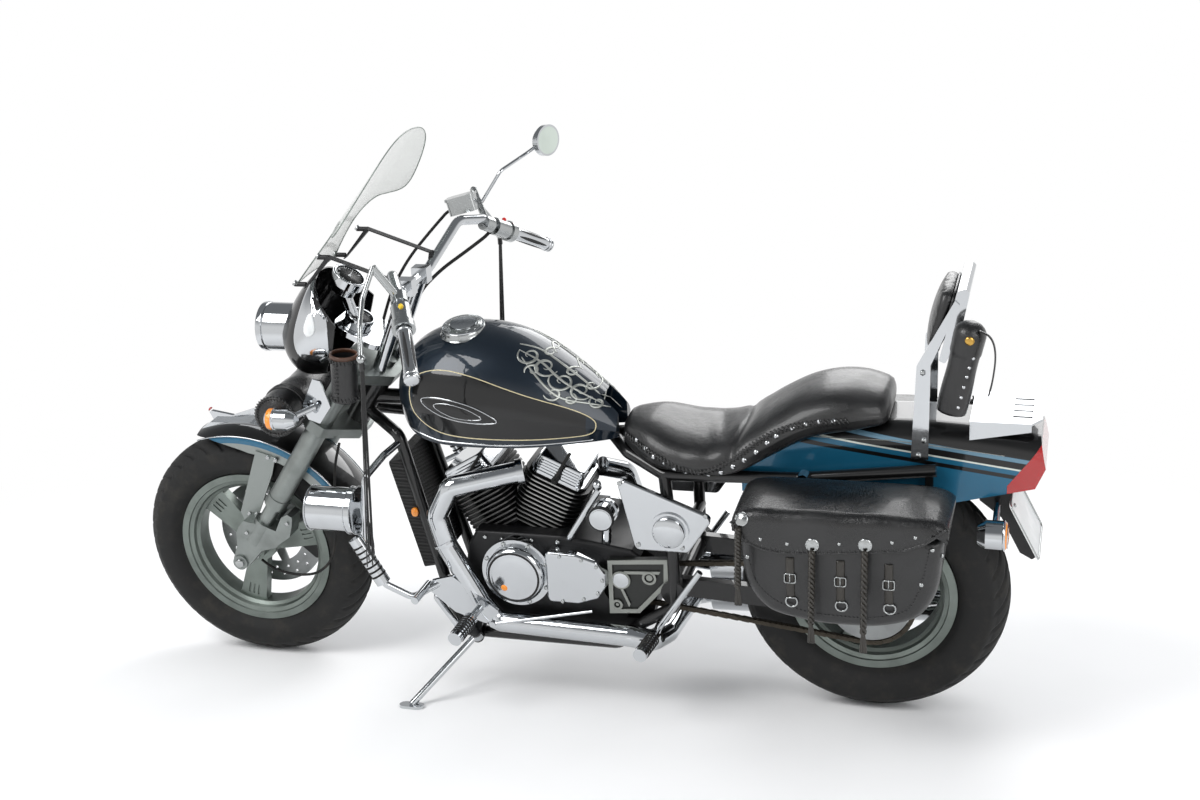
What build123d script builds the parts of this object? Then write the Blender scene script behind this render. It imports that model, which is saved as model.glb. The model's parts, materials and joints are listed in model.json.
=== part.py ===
from build123d import *
import os
from math import cos, radians, sin, sqrt, tan

# A cruiser motorcycle, parked on its side stand with the steering straight.
# Millimetres. The machine is modelled upright: +X runs from the front axle to the rear axle, +Y is
# the rider's right, +Z is up and z = 0 is the ground. At the end every piece is leaned together to
# the left onto the stand, and shifted so that the origin lies under the middle of the machine.

# ---------------------------------------------------------------------------------------------
# Driving dimensions
# ---------------------------------------------------------------------------------------------
WHEELBASE = 1645.0
CRANK_AHEAD = 52.5  # crankshaft ahead of the middle of the wheelbase
RAKE = 34.0  # steering axis from the vertical, degrees
FORK_OFFSET = 57.0  # steering axis to fork leg axis
LEAN = 10.0  # lean to the left when parked, degrees
CROWN = 64.0  # both tyres' round crown, so that the lean rolls about one line
GAP = 0.3  # between faces that lie against each other
RUNNING = 0.05  # shaft in its bore, on the radius

# wheels
FRONT_TYRE_R = 320.0
FRONT_TYRE_HALF = 66.0
FRONT_BEAD_R = 205.0
FRONT_LIP_R = 214.5
FRONT_RIM_HALF = 46.0
FRONT_HUB_HALF = 56.0
FRONT_AXLE_R = 10.0
REAR_TYRE_R = 325.0
REAR_TYRE_HALF = 75.0
REAR_BEAD_R = 193.0
REAR_LIP_R = 204.0
REAR_RIM_HALF = 53.0
REAR_HUB_HALF = 84.0
REAR_AXLE_R = 11.0
HUB_R = 32.0
WELL_DEPTH = 24.0
RIM_T = 8.0
SPOKE_ANGLES = (15, 135, 255)
SPOKE_T = 30.0
SPOKE_ROOT = 48.0  # blade width at the hub
SPOKE_TIP = 74.0  # blade width at the rim
DISC_R = 150.0
DISC_INNER_R = 92.0
DISC_T = 5.0
SPROCKET_R = 100.0
SMALL_SPROCKET_R = 40.0
SPROCKET_T = 7.0
CHAIN_Y = -96.0
CHAIN_T = 16.0
CHAIN_H = 14.0

# fork, measured along the legs from the axle
LEG_Y = 105.0
INNER_R = 20.5
OUTER_R = 28.0
OUTER_START = 212.0
FORK_TOP = 700.0
LOWER_CLAMP = 484.0
UPPER_CLAMP = 664.0
CLAMP_T = 30.0
HEAD_R = 31.0
STEM_R = 15.0
STEERING_STOP = 38.0  # each way from straight, degrees
CASTING_IN = 27.0  # casting from the leg's axis, inwards and outwards
CASTING_OUT = 24.0

# front fender
FENDER_RISE = 33.0  # crown above the tyre
FENDER_T = 3.0
SKIRT_LOW = 25.0  # skirts' lower edge inside the tyre's radius
FENDER_AHEAD = 20.0  # how far it reaches before and behind the axle's vertical, degrees
FENDER_BEHIND = 62.0

# frame tubes
SPINE_R = 20.0
SPINE_Z = 785.0
RAIL_R = 15.0
RAIL_Y = 112.0
LOW_RAIL_Z = 165.0
PIVOT_RAIL_Y = 150.0  # where the frame carries the swingarm
SUBFRAME_Y = 116.0

# swingarm and shock absorbers
PIVOT_Z = 345.0
PIVOT_BEHIND = 408.0  # pivot behind the crankshaft
PIVOT_R = 9.0
PIVOT_TUBE_R = 24.0
ARM_INNER = 108.0
ARM_T = 22.0
SHOCK_R = 22.0

# engine
CRANK_Z = 365.0
FRONT_CYLINDER_LEAN = 30.5
REAR_CYLINDER_LEAN = 24.5
BARREL_R = 64.0
BARREL_START = 88.0  # along the cylinder from the crankshaft
FIN_WIDTH = 172.0
FIN_COUNT = 12
FIN_PITCH = 12.0
FIN_T = 3.5
ROCKER_LENGTH = 142.0
ROCKER_WIDTH = 164.0
ROCKER_H = 46.0
CASE_HALF = 130.0
ROUND_COVER_R = 76.0
ROUND_COVER_OUT = 55.0  # how far the covers stand out of the crankcase
LONG_COVER_OUT = 45.0
SPROCKET_COVER_OUT = 20.0
PIPE_R = 27.0
PIPE_Y = 168.0
MUFFLER_R = 45.0
RADIATOR_W = 190.0
RADIATOR_H = 300.0
RADIATOR_T = 36.0

# fuel tank
TANK_HALF = 165.0
TANK_LENGTH = 556.0
TUNNEL_HALF = 40.0
CAP_R = 52.0

# side stand
STAND_PIVOT_Y = -154.0
STAND_PIVOT_Z = 178.0
STAND_FOOT_AHEAD = 238.0  # foot ahead of the crankshaft
STAND_FOOT_Y = -321.0  # on the ground, with the machine leaned
STAND_R = 9.0
STAND_BOSS_R = 15.0
STAND_BOSS_HALF = 10.0
STAND_PIN_R = 6.0
LUG_T = 7.0  # frame's lugs each side of the stand's boss
LUG_REACH = 40.0
STAND_TUCKED = Vector(0.985, -0.15, -0.08)  # where it points when it is folded back

# rear fender
REAR_FENDER_T = 4.0
REAR_FENDER_ROUND = 50.0

# saddlebags
BAG_INNER_Y = 185.0
BAG_OUTER_Y = 365.0
BAG_AHEAD = 260.0  # bag's front end ahead of the rear axle
BAG_BEHIND = 195.0
BAG_LOW_Z = 398.0
BAG_TOP_Z = 640.0
BAG_WALL = 6.0
LID_TOP_Z = 684.0
LID_FLAP_Z = 563.0
LID_T = 7.0
LID_LAP = 8.0  # how far the lid stands past the bag's walls
LID_RISE = 1.0  # lid's underside above the bag's rim
LID_PIN_R = 3.0

# handlebar and grips
BAR_R = 12.7
GRIP_R = 17.0
BAR_BEND = 38.0
RISER_R = 17.0

# windscreen
SCREEN_T = 4.0
SCREEN_HALF = 236.0
SCREEN_BOW = 56.0
STRAP_W = 18.0
STRAP_T = 4.0

# headlight and small leather pieces
LAMP_R = 62.0
LAMP_UP = 618.0  # above the front axle
COWL_T = 4.0
ROLL_R = 60.0
ROLL_HALF = 165.0
CUP_R = 34.0
CUP_WALL = 4.0

CRANK_X = WHEELBASE / 2 - CRANK_AHEAD
BAG_FRONT_X = WHEELBASE - BAG_AHEAD
BAG_REAR_X = WHEELBASE + BAG_BEHIND
RAKE_SIN = sin(radians(RAKE))
RAKE_COS = cos(radians(RAKE))
FRONT_AXLE = (0.0, 0.0, FRONT_TYRE_R)
REAR_AXLE = (WHEELBASE, 0.0, REAR_TYRE_R)
FORK = Plane(origin=FRONT_AXLE, x_dir=(RAKE_COS, 0, -RAKE_SIN), z_dir=(RAKE_SIN, 0, RAKE_COS))
PARKED = Location((0, 0, CROWN)) * Location((0, 0, 0), (LEAN, 0, 0)) * Location((0, 0, -CROWN))
BOTH = (-1, 1)  # the machine's left and right

pieces = []


def keep(piece, label):
    """Name a finished piece and put it on the list to be written."""
    piece.part.label = label
    pieces.append(piece)


def front(x, *rest):
    """A point measured from the front axle, given as x, z or as x, y, z."""
    return (x, *rest[:-1], rest[-1] + FRONT_TYRE_R)


def middle(x, *rest):
    """A point whose x is measured from the crankshaft."""
    return (CRANK_X + x, *rest)


def rear(x, *rest):
    """A point whose x is measured from the rear axle."""
    return (WHEELBASE + x, *rest)


def fork_point(back, side, along):
    """A point in the fork's frame as a point of the machine."""
    x = back * RAKE_COS + along * RAKE_SIN
    return (x, side, FRONT_TYRE_R - back * RAKE_SIN + along * RAKE_COS)


def across(hand, low, high):
    """Two distances from the middle plane, on one side, as y values in rising order."""
    return sorted((hand * low, hand * high))


def tube(points, radius, bend=None, mode=Mode.ADD):
    """Sweep a round bar along straight runs joined by arcs, into the piece being built."""
    with BuildLine() as path:
        if bend is None:
            Polyline(*points)
        else:
            FilletPolyline(*points, radius=bend)
    with BuildSketch(Plane(origin=path.line @ 0, z_dir=path.line % 0)) as section:
        Circle(radius)
    sweep(section.sketch, path=path.line, mode=mode)


def rod(start, end, radius, mode=Mode.ADD):
    """A straight round bar between two points."""
    run = Vector(*end) - Vector(*start)
    with BuildSketch(Plane(origin=start, z_dir=run)) as section:
        Circle(radius)
    extrude(section.sketch, amount=run.length, mode=mode)


def plate(outline, y_from, y_to, mode=Mode.ADD):
    """A flat plate seen from the side: an x, z outline between two lateral places."""
    with BuildSketch(Plane.XZ.offset(-y_to)) as section:
        Polygon(*outline, align=None)
    extrude(section.sketch, amount=y_to - y_from, mode=mode)


def rounded_plate(outline, corner, y_from, y_to, mode=Mode.ADD):
    """A flat plate seen from the side, its corners rounded."""
    with BuildSketch(Plane.XZ.offset(-y_to)) as section:
        Polygon(*outline, align=None)
        fillet(section.vertices(), corner)
    extrude(section.sketch, amount=y_to - y_from, mode=mode)


def disc(centre, radius, y_from, y_to, mode=Mode.ADD):
    """A round plate across the machine, centred at x, z."""
    rod((centre[0], y_from, centre[1]), (centre[0], y_to, centre[1]), radius, mode)


def block(low, high, mode=Mode.ADD):
    """A rectangular block between two corners."""
    with BuildSketch(Plane.XY.offset(low[2])) as section:
        with Locations(((low[0] + high[0]) / 2, (low[1] + high[1]) / 2)):
            Rectangle(high[0] - low[0], high[1] - low[1])
    extrude(section.sketch, amount=high[2] - low[2], mode=mode)


def clear_of(*others):
    """Cut the piece being built to the faces of pieces that it sits against."""
    for other in others:
        add(other.part, mode=Mode.SUBTRACT)


# ---------------------------------------------------------------------------------------------
# Wheels
# ---------------------------------------------------------------------------------------------
def make_tyre(axle, radius, half, bead, lip, rim_half):
    """A round-crowned tyre, solid from its beads to its crown."""
    seat = rim_half - 4
    shoulder = radius - CROWN
    crown_mid = CROWN * sqrt(0.5)
    with BuildPart() as piece:
        with BuildSketch(Plane(origin=axle, x_dir=(0, 1, 0), z_dir=(1, 0, 0))) as section:
            with BuildLine():
                Polyline((0, radius), (0, bead), (seat, bead), (seat, lip + 1))
                ThreePointArc(
                    (seat, lip + 1), (half, (lip + shoulder) / 2 + 10), (crown_mid, shoulder + crown_mid)
                )
                RadiusArc((crown_mid, shoulder + crown_mid), (0, radius), -CROWN)
            make_face()
            mirror(about=Plane.YZ)
        revolve(section.sketch, axis=Axis(axle, (0, 1, 0)))
    return piece


def make_rim(axle, bead, lip, rim_half, hub_half, axle_r):
    """A cast wheel: deep stepped rim, hub and three flat blades with grooves near the rim."""
    well = bead - WELL_DEPTH
    with BuildPart() as piece:
        with BuildSketch(Plane(origin=axle, x_dir=(0, 1, 0), z_dir=(1, 0, 0))) as section:
            with BuildLine():
                Polyline(
                    (0, well - RIM_T), (rim_half - 22, well - RIM_T), (rim_half - 16, well),
                    (rim_half - 8, well + 4), (rim_half - 4, bead - 10), (rim_half, bead - 8),
                    (rim_half, lip), (rim_half - 4, lip), (rim_half - 4, bead), (rim_half - 16, bead),
                    (20, well), (0, well), close=True,
                )
            make_face()
            mirror(about=Plane.YZ)
        revolve(section.sketch, axis=Axis(axle, (0, 1, 0)))
        disc((axle[0], axle[2]), HUB_R, -hub_half, hub_half)
        disc((axle[0], axle[2]), HUB_R * 1.5, -SPOKE_T / 2 - 6, SPOKE_T / 2 + 6)
        for angle in SPOKE_ANGLES:
            outwards = (cos(radians(angle)), 0, sin(radians(angle)))
            near = Plane(origin=(axle[0], SPOKE_T / 2, axle[2]), x_dir=outwards, z_dir=(0, -1, 0))
            with BuildSketch(near) as blade:
                Polygon(
                    (20, -SPOKE_ROOT / 2), (well - 20, -SPOKE_TIP / 2), (well - 4, -SPOKE_TIP / 2 - 7),
                    (well - 4, SPOKE_TIP / 2 + 7), (well - 20, SPOKE_TIP / 2), (20, SPOKE_ROOT / 2),
                    align=None,
                )
            extrude(blade.sketch, amount=SPOKE_T)
            for depth in (0, SPOKE_T - 3):
                with BuildSketch(near.offset(depth)) as grooves:
                    for line in (-1, 0, 1):
                        with Locations((well - 34, line * 13)):
                            SlotOverall(30, 5)
                extrude(grooves.sketch, amount=3, mode=Mode.SUBTRACT)
        disc((axle[0], axle[2]), axle_r + RUNNING, -hub_half, hub_half, mode=Mode.SUBTRACT)
    return piece


front_tyre = make_tyre(
    FRONT_AXLE, FRONT_TYRE_R, FRONT_TYRE_HALF, FRONT_BEAD_R, FRONT_LIP_R, FRONT_RIM_HALF
)
keep(front_tyre, "front_tyre")
front_wheel = make_rim(
    FRONT_AXLE, FRONT_BEAD_R, FRONT_LIP_R, FRONT_RIM_HALF, FRONT_HUB_HALF, FRONT_AXLE_R
)
keep(front_wheel, "front_wheel")
rear_tyre = make_tyre(REAR_AXLE, REAR_TYRE_R, REAR_TYRE_HALF, REAR_BEAD_R, REAR_LIP_R, REAR_RIM_HALF)
keep(rear_tyre, "rear_tyre")
rear_wheel = make_rim(REAR_AXLE, REAR_BEAD_R, REAR_LIP_R, REAR_RIM_HALF, REAR_HUB_HALF, REAR_AXLE_R)
keep(rear_wheel, "rear_wheel")

# one drilled disc bolted to the right end of the front hub
DISC_HOLE_R = 4.0
with BuildPart() as brake_disc:
    disc_in = FRONT_HUB_HALF
    disc_out = FRONT_HUB_HALF + DISC_T
    disc((0, FRONT_TYRE_R), DISC_R, disc_in, disc_out)
    disc((0, FRONT_TYRE_R), DISC_INNER_R, disc_in, disc_out, Mode.SUBTRACT)
    disc((0, FRONT_TYRE_R), HUB_R, disc_in, disc_out)
    for arm in range(5):
        turn = radians(72 * arm)
        outwards = (cos(turn), 0, sin(turn))
        with BuildSketch(Plane(origin=(0, disc_out, FRONT_TYRE_R), x_dir=outwards, z_dir=(0, -1, 0))) as spider:
            Polygon((20, -16), (DISC_INNER_R + 6, -11), (DISC_INNER_R + 6, 11), (20, 16), align=None)
        extrude(spider.sketch, amount=DISC_T)
    with BuildSketch(Plane(origin=(0, disc_out, FRONT_TYRE_R), x_dir=(1, 0, 0), z_dir=(0, -1, 0))) as holes:
        for ring_r, shift in ((DISC_INNER_R + 18, 0), (DISC_R - 20, 9)):
            with PolarLocations(ring_r, 20, start_angle=shift):
                Circle(DISC_HOLE_R)
    extrude(holes.sketch, amount=DISC_T, mode=Mode.SUBTRACT)
    disc((0, FRONT_TYRE_R), FRONT_AXLE_R + 5, disc_in, disc_out, Mode.SUBTRACT)
keep(brake_disc, "brake_disc")

# the driven sprocket on the left end of the rear hub
with BuildPart() as rear_sprocket:
    sprocket_low = CHAIN_Y - SPROCKET_T / 2
    sprocket_high = CHAIN_Y + SPROCKET_T / 2
    rear_centre = (WHEELBASE, REAR_TYRE_R)
    disc(rear_centre, SPROCKET_R, sprocket_low, sprocket_high)
    disc(rear_centre, HUB_R + 18, sprocket_high, -REAR_HUB_HALF)
    disc(rear_centre, REAR_AXLE_R + 6, sprocket_low, -REAR_HUB_HALF, Mode.SUBTRACT)
keep(rear_sprocket, "rear_sprocket")

# ---------------------------------------------------------------------------------------------
# Fork, measured in its own frame: back from the legs, side, along from the axle
# ---------------------------------------------------------------------------------------------
STEM_LOW = LOWER_CLAMP - CLAMP_T / 2
STEM_HIGH = UPPER_CLAMP + CLAMP_T / 2
HEAD_LOW = LOWER_CLAMP + CLAMP_T / 2 + GAP
HEAD_HIGH = UPPER_CLAMP - CLAMP_T / 2 - GAP

with BuildPart() as fork_tubes:
    for hand in BOTH:
        leg = hand * LEG_Y
        rod(fork_point(0, leg, OUTER_START), fork_point(0, leg, FORK_TOP), OUTER_R)
        rod(fork_point(0, leg, OUTER_START - 14), fork_point(0, leg, OUTER_START + 16), OUTER_R + 2)
        rod(fork_point(0, leg, FORK_TOP), fork_point(0, leg, FORK_TOP + 7), OUTER_R - 8)
keep(fork_tubes, "fork_tubes")

CLAMP_BACK = FORK_OFFSET + HEAD_R + 7
with BuildPart() as fork_clamps:
    for along in (LOWER_CLAMP, UPPER_CLAMP):
        with BuildSketch(FORK.offset(along - CLAMP_T / 2)) as section:
            Polygon(
                (-38, -LEG_Y - 20), (-20, -LEG_Y - 38), (22, -LEG_Y - 38), (CLAMP_BACK, -40),
                (CLAMP_BACK, 40), (22, LEG_Y + 38), (-20, LEG_Y + 38), (-38, LEG_Y + 20), align=None,
            )
            fillet(section.vertices(), 9)
        extrude(section.sketch, amount=CLAMP_T)
        for hand in BOTH:
            rod(
                fork_point(0, hand * LEG_Y, along - CLAMP_T), fork_point(0, hand * LEG_Y, along + CLAMP_T),
                OUTER_R, mode=Mode.SUBTRACT,
            )
    rod(fork_point(FORK_OFFSET, 0, STEM_LOW), fork_point(FORK_OFFSET, 0, STEM_HIGH + 14), STEM_R)
keep(fork_clamps, "fork_clamps")

# lower castings that clamp the axle, each with an ear; x and z from the axle
CASTING = (
    (-20, 10), (-4, 49), (-2, 84), (8, 104), (24, 121), (76, 112), (114, 98), (134, 138), (152, 148),
    (166, 140), (162, 119), (152, 84), (124, 64), (107, 49), (65, 37), (18, -14), (0, -22), (-16, -14),
)
with BuildPart() as fork_sliders:
    for hand in BOTH:
        inner = LEG_Y - CASTING_IN
        outer = LEG_Y + CASTING_OUT
        plate([front(x, z) for x, z in CASTING], *across(hand, inner, outer))
        disc((0, FRONT_TYRE_R), 20, *across(hand, outer, outer + 6))
        rod(fork_point(0, hand * LEG_Y, 70), fork_point(0, hand * LEG_Y, OUTER_START - 14), INNER_R)
        rod(fork_point(0, hand * LEG_Y, 70), fork_point(0, hand * LEG_Y, 140), INNER_R + 8)
    disc((0, FRONT_TYRE_R), 17, FRONT_HUB_HALF + DISC_T + GAP, LEG_Y - CASTING_IN)
    disc((0, FRONT_TYRE_R), FRONT_AXLE_R, -LEG_Y, LEG_Y)
    disc((0, FRONT_TYRE_R), 17, CASTING_IN - LEG_Y, -FRONT_HUB_HALF - GAP)
keep(fork_sliders, "fork_sliders")

# brake caliper behind the right leg, open around the disc
CALIPER = ((56, 38), (150, 24), (160, 88), (66, 106))  # back and along, in the fork's frame
with BuildPart() as brake_caliper:
    corners = [fork_point(back, 0, along) for back, along in CALIPER]
    outline = [(x, z) for x, y, z in corners]
    rounded_plate(outline, 10, FRONT_HUB_HALF - 22, LEG_Y + 12)
    disc((0, FRONT_TYRE_R), DISC_R + 6, FRONT_HUB_HALF - 6, FRONT_HUB_HALF + DISC_T + 6, Mode.SUBTRACT)
    clear_of(fork_sliders)
keep(brake_caliper, "brake_caliper")

# front fender: an arched shell around the tyre whose skirts taper to its tip, with stays
FENDER_HALF = LEG_Y - OUTER_R - GAP
with BuildPart() as front_fender:
    crown = FRONT_TYRE_R + FENDER_RISE
    with BuildSketch(Plane(origin=FRONT_AXLE, x_dir=(0, 1, 0), z_dir=(1, 0, 0))) as section:
        for inset, mode in ((0, Mode.ADD), (FENDER_T, Mode.SUBTRACT)):
            half = FENDER_HALF - inset
            with BuildLine():
                ThreePointArc((-half + 5, crown - 15 - inset), (0, crown - inset), (half - 5, crown - 15 - inset))
                Polyline(
                    (half - 5, crown - 15 - inset), (half, crown - 25 - inset), (half, FRONT_TYRE_R - SKIRT_LOW),
                    (-half, FRONT_TYRE_R - SKIRT_LOW), (-half, crown - 25 - inset),
                    (-half + 5, crown - 15 - inset),
                )
            make_face(mode=mode)
    revolve(section.sketch, axis=Axis(FRONT_AXLE, (0, 1, 0)), revolution_arc=-FENDER_AHEAD)
    revolve(section.sketch, axis=Axis(FRONT_AXLE, (0, 1, 0)), revolution_arc=FENDER_BEHIND)
    skirt_cut = [front(x, z) for x, z in ((-170, 320), (-78, 328), (18, 300), (70, 282), (70, 150), (-170, 150))]
    plate(skirt_cut, -LEG_Y, LEG_Y, mode=Mode.SUBTRACT)
    for hand in BOTH:
        stay = ((63, 302), (116, 286), (102, 240), (36, 100), (2, 100), (-6, 124))
        plate([front(x, z) for x, z in stay], *across(hand, FENDER_HALF - 1, FENDER_HALF + 5))
    clear_of(fork_sliders, fork_tubes)
keep(front_fender, "front_fender")

# a low base and a fin along the fender's crown; x and height above the crown line
with BuildPart() as fender_ornament:
    for outline, half, mode in (
        (((-124, 318), (-112, 336), (-88, 352), (26, 356), (60, 348), (60, 320), (-120, 300)), 26, Mode.ADD),
        (((-98, 372), (-88, 350), (40, 350), (58, 388), (46, 392), (-30, 366), (-92, 376)), 5, Mode.ADD),
    ):
        lift = FENDER_RISE - 33.0
        plate([front(x, z + lift) for x, z in outline], -half, half, mode)
    disc((0, FRONT_TYRE_R), FRONT_TYRE_R + FENDER_RISE - FENDER_T / 2, -LEG_Y, LEG_Y, Mode.SUBTRACT)
    clear_of(front_fender)
keep(fender_ornament, "fender_ornament")

# ---------------------------------------------------------------------------------------------
# Handlebar, controls and instruments
# ---------------------------------------------------------------------------------------------
BAR_MIDDLE = front(520, 100, 752)
BAR_KNEE = front(562, 225, 840)
BAR_SHOULDER = front(603, 300, 822)
GRIP_IN = front(641, 372, 770)
GRIP_END = front(701, 495, 698)


def mirrored(points):
    """A path from the left bar end to the right one, given its right half from the middle out."""
    return [(x, -y, z) for x, y, z in reversed(points)] + list(points)


BAR_PATH = mirrored([BAR_MIDDLE, BAR_KNEE, BAR_SHOULDER, GRIP_IN, GRIP_END])
with BuildPart() as handlebar:
    tube(BAR_PATH, BAR_R, BAR_BEND)
    for side in (-50, 50):
        top = (BAR_MIDDLE[0], side, BAR_MIDDLE[2])
        rod(fork_point(52, side, STEM_HIGH), top, RISER_R)
        block((top[0] - 20, side - RISER_R, top[2] - 20), (top[0] + 20, side + RISER_R, top[2] + 20))
    clear_of(fork_clamps)
keep(handlebar, "handlebar")


def along_grip(share, hand):
    """A point on the grip's line: 0 at its inner end, 1 at the bar's end."""
    point = [a + (b - a) * share for a, b in zip(GRIP_IN, GRIP_END)]
    return (point[0], hand * point[1], point[2])


with BuildPart() as hand_grips:
    for hand in BOTH:
        rod(along_grip(0.12, hand), along_grip(1.05, hand), GRIP_R)
        rod(along_grip(0.0, hand), along_grip(1.0, hand), BAR_R, mode=Mode.SUBTRACT)
keep(hand_grips, "hand_grips")

# switch housings with lever perches and levers on both grips, the brake reservoir on the right
LEVER = (front(567, 338, 893), front(558, 392, 836), front(566, 440, 790), front(578, 478, 726))
with BuildPart() as bar_controls:
    for hand in BOTH:
        rod(along_grip(-0.36, hand), along_grip(-0.02, hand), 23)
        rod(along_grip(-0.02, hand), along_grip(0.1, hand), 27)
        rod(along_grip(-0.62, hand), along_grip(-0.44, hand), 20)
        pivot = (LEVER[0][0], hand * LEVER[0][1], LEVER[0][2])
        rod(along_grip(-0.53, hand), pivot, 9)
        tube([(x, hand * y, z) for x, y, z in LEVER], 6, 40)
        tip = LEVER[-1]
        with BuildSketch(Plane(origin=(tip[0], hand * tip[1], tip[2]), x_dir=(1, 0, 0), z_dir=(0, 1, 0))) as ball:
            with BuildLine():
                ThreePointArc((0, -10), (10, 0), (0, 10))
                Line((0, 10), (0, -10))
            make_face()
        revolve(ball.sketch, axis=Axis((tip[0], hand * tip[1], tip[2]), (0, 0, 1)))
    well = Plane(origin=front(556, 296, 842), x_dir=(0.95, 0.1, 0.25), z_dir=(-0.25, 0.05, 0.96))
    with BuildSketch(well) as section:
        RectangleRounded(74, 46, 8)
    extrude(section.sketch, amount=38)
    with BuildSketch(well.offset(38)) as section:
        RectangleRounded(80, 52, 10)
    extrude(section.sketch, amount=7)
    clear_of(handlebar)
keep(bar_controls, "bar_controls")

with BuildPart() as mirror_right:
    tube([front(590, 332, 858), front(642, 352, 937), front(687, 440, 962), front(722, 462, 985)], 4.5, 24)
    face = Plane(origin=front(728, 470, 989), x_dir=(0.25, 0.97, 0), z_dir=(0.97, -0.25, 0.1))
    with BuildSketch(face) as section:
        Ellipse(54, 40)
    extrude(section.sketch, amount=12)
    for depth, wide, high in ((7, 48, 34), (13, 36, 24)):
        with BuildSketch(face.offset(-depth)) as section:
            Ellipse(wide, high)
        extrude(section.sketch, amount=depth)
    clear_of(bar_controls)
keep(mirror_right, "mirror_right")

# speedometer in its cup, the lower gauge, and the plate that carries both on the upper clamp
with BuildPart() as gauges:
    speedo = Plane(origin=front(324, 0, 722), z_dir=(0.55, 0, 0.83))
    with BuildSketch(speedo) as section:
        Circle(34)
    extrude(section.sketch, amount=40)
    with BuildSketch(speedo.offset(24)) as section:
        Circle(44)
    extrude(section.sketch, amount=22)
    with BuildSketch(speedo.offset(42)) as section:
        Circle(39)
    extrude(section.sketch, amount=6, mode=Mode.SUBTRACT)
    lower = Plane(origin=front(372, 0, 614), z_dir=(0.45, 0, 0.89))
    with BuildSketch(lower) as section:
        RectangleRounded(140, 150, 40)
    extrude(section.sketch, amount=14)
    with BuildSketch(lower.offset(14)) as section:
        with Locations((-24, 0)):
            Circle(36)
    extrude(section.sketch, amount=16)
    rod(front(350, 0, 640), front(328, 0, 726), 14)
    clear_of(fork_clamps, fork_tubes, handlebar)
keep(gauges, "gauges")

# ---------------------------------------------------------------------------------------------
# Headlight, cowl and windscreen
# ---------------------------------------------------------------------------------------------
LAMP_FRONT_X = 112.0
BUCKET_END_X = 214.0
with BuildPart() as headlight:
    with BuildSketch(Plane(origin=front(LAMP_FRONT_X, 0, LAMP_UP), z_dir=(1, 0, 0))) as section:
        Circle(LAMP_R)
    extrude(section.sketch, amount=BUCKET_END_X - LAMP_FRONT_X)
    with BuildSketch(Plane(origin=front(BUCKET_END_X, 0, LAMP_UP), z_dir=(1, 0, 0))) as section:
        Circle(LAMP_R)
    extrude(section.sketch, amount=56, taper=14)
    fillet(headlight.edges().filter_by(GeomType.CIRCLE).sort_by(Axis.X)[0], 9)
keep(headlight, "headlight")

# cowl sections: x, half width, low and high above the front axle
COWL_SECTIONS = (
    (176, 66, 546, 660), (202, 92, 506, 700), (234, 108, 498, 742), (276, 118, 504, 776), (352, 124, 512, 800),
)
with BuildPart() as cowl:
    for shrink, mode in ((0, Mode.ADD), (COWL_T, Mode.SUBTRACT)):
        faces = []
        for x, half, low, high in COWL_SECTIONS:
            place = Plane(origin=front(x, 0, (low + high) / 2), x_dir=(0, 1, 0), z_dir=(1, 0, 0))
            with BuildSketch(place) as section:
                Ellipse(half - shrink, (high - low) / 2 - shrink)
            faces.append(section.sketch)
        loft(faces, mode=mode)
    clear_of(headlight, fork_clamps, fork_tubes, gauges)
    back = ((266, 790), (274, 776), (297, 731), (327, 698), (352, 668), (330, 590), (268, 504), (400, 480), (400, 820))
    plate([front(x, z) for x, z in back], -LEG_Y - 45, LEG_Y + 45, mode=Mode.SUBTRACT)
keep(cowl, "cowl")

# the screen: a bowed sheet leaning back, cut to its outline, wider above the hands
SCREEN_LEAN = (0.64, 0, 0.768)
# right half of the outline from the bottom middle: side, height above the front axle
SCREEN_EDGE = (
    (0, 762), (122, 762), (158, 880), (196, 912), (SCREEN_HALF, 930), (SCREEN_HALF, 1090), (190, 1140), (0, 1150),
)
with BuildPart() as windscreen:
    base = front(0, 0, 740)[2]
    with BuildSketch(Plane.XY.offset(base)) as section:
        bow_x = 222.0
        side_x = bow_x + SCREEN_BOW
        half = SCREEN_HALF + 12
        with BuildLine():
            ThreePointArc((side_x, -half), (bow_x, 0), (side_x, half))
            Line((side_x, half), (side_x - SCREEN_T, half))
            ThreePointArc((side_x - SCREEN_T, half), (bow_x - SCREEN_T, 0), (side_x - SCREEN_T, -half))
            Line((side_x - SCREEN_T, -half), (side_x, -half))
        make_face()
    extrude(section.sketch, amount=560, dir=SCREEN_LEAN)
    with BuildSketch(Plane(origin=(0, 0, 0), x_dir=(0, 1, 0), z_dir=(1, 0, 0))) as outline:
        edge = [front(side, up) for side, up in SCREEN_EDGE]
        other_side = [(-side, z) for side, z in reversed(edge[1:-1])]
        Polygon(*edge, *other_side, align=None)
        fillet([corner for corner in outline.vertices() if abs(corner.X) > 110], 16)
    extrude(outline.sketch, amount=900, mode=Mode.INTERSECT)
    clear_of(cowl)
keep(windscreen, "windscreen")

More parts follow.
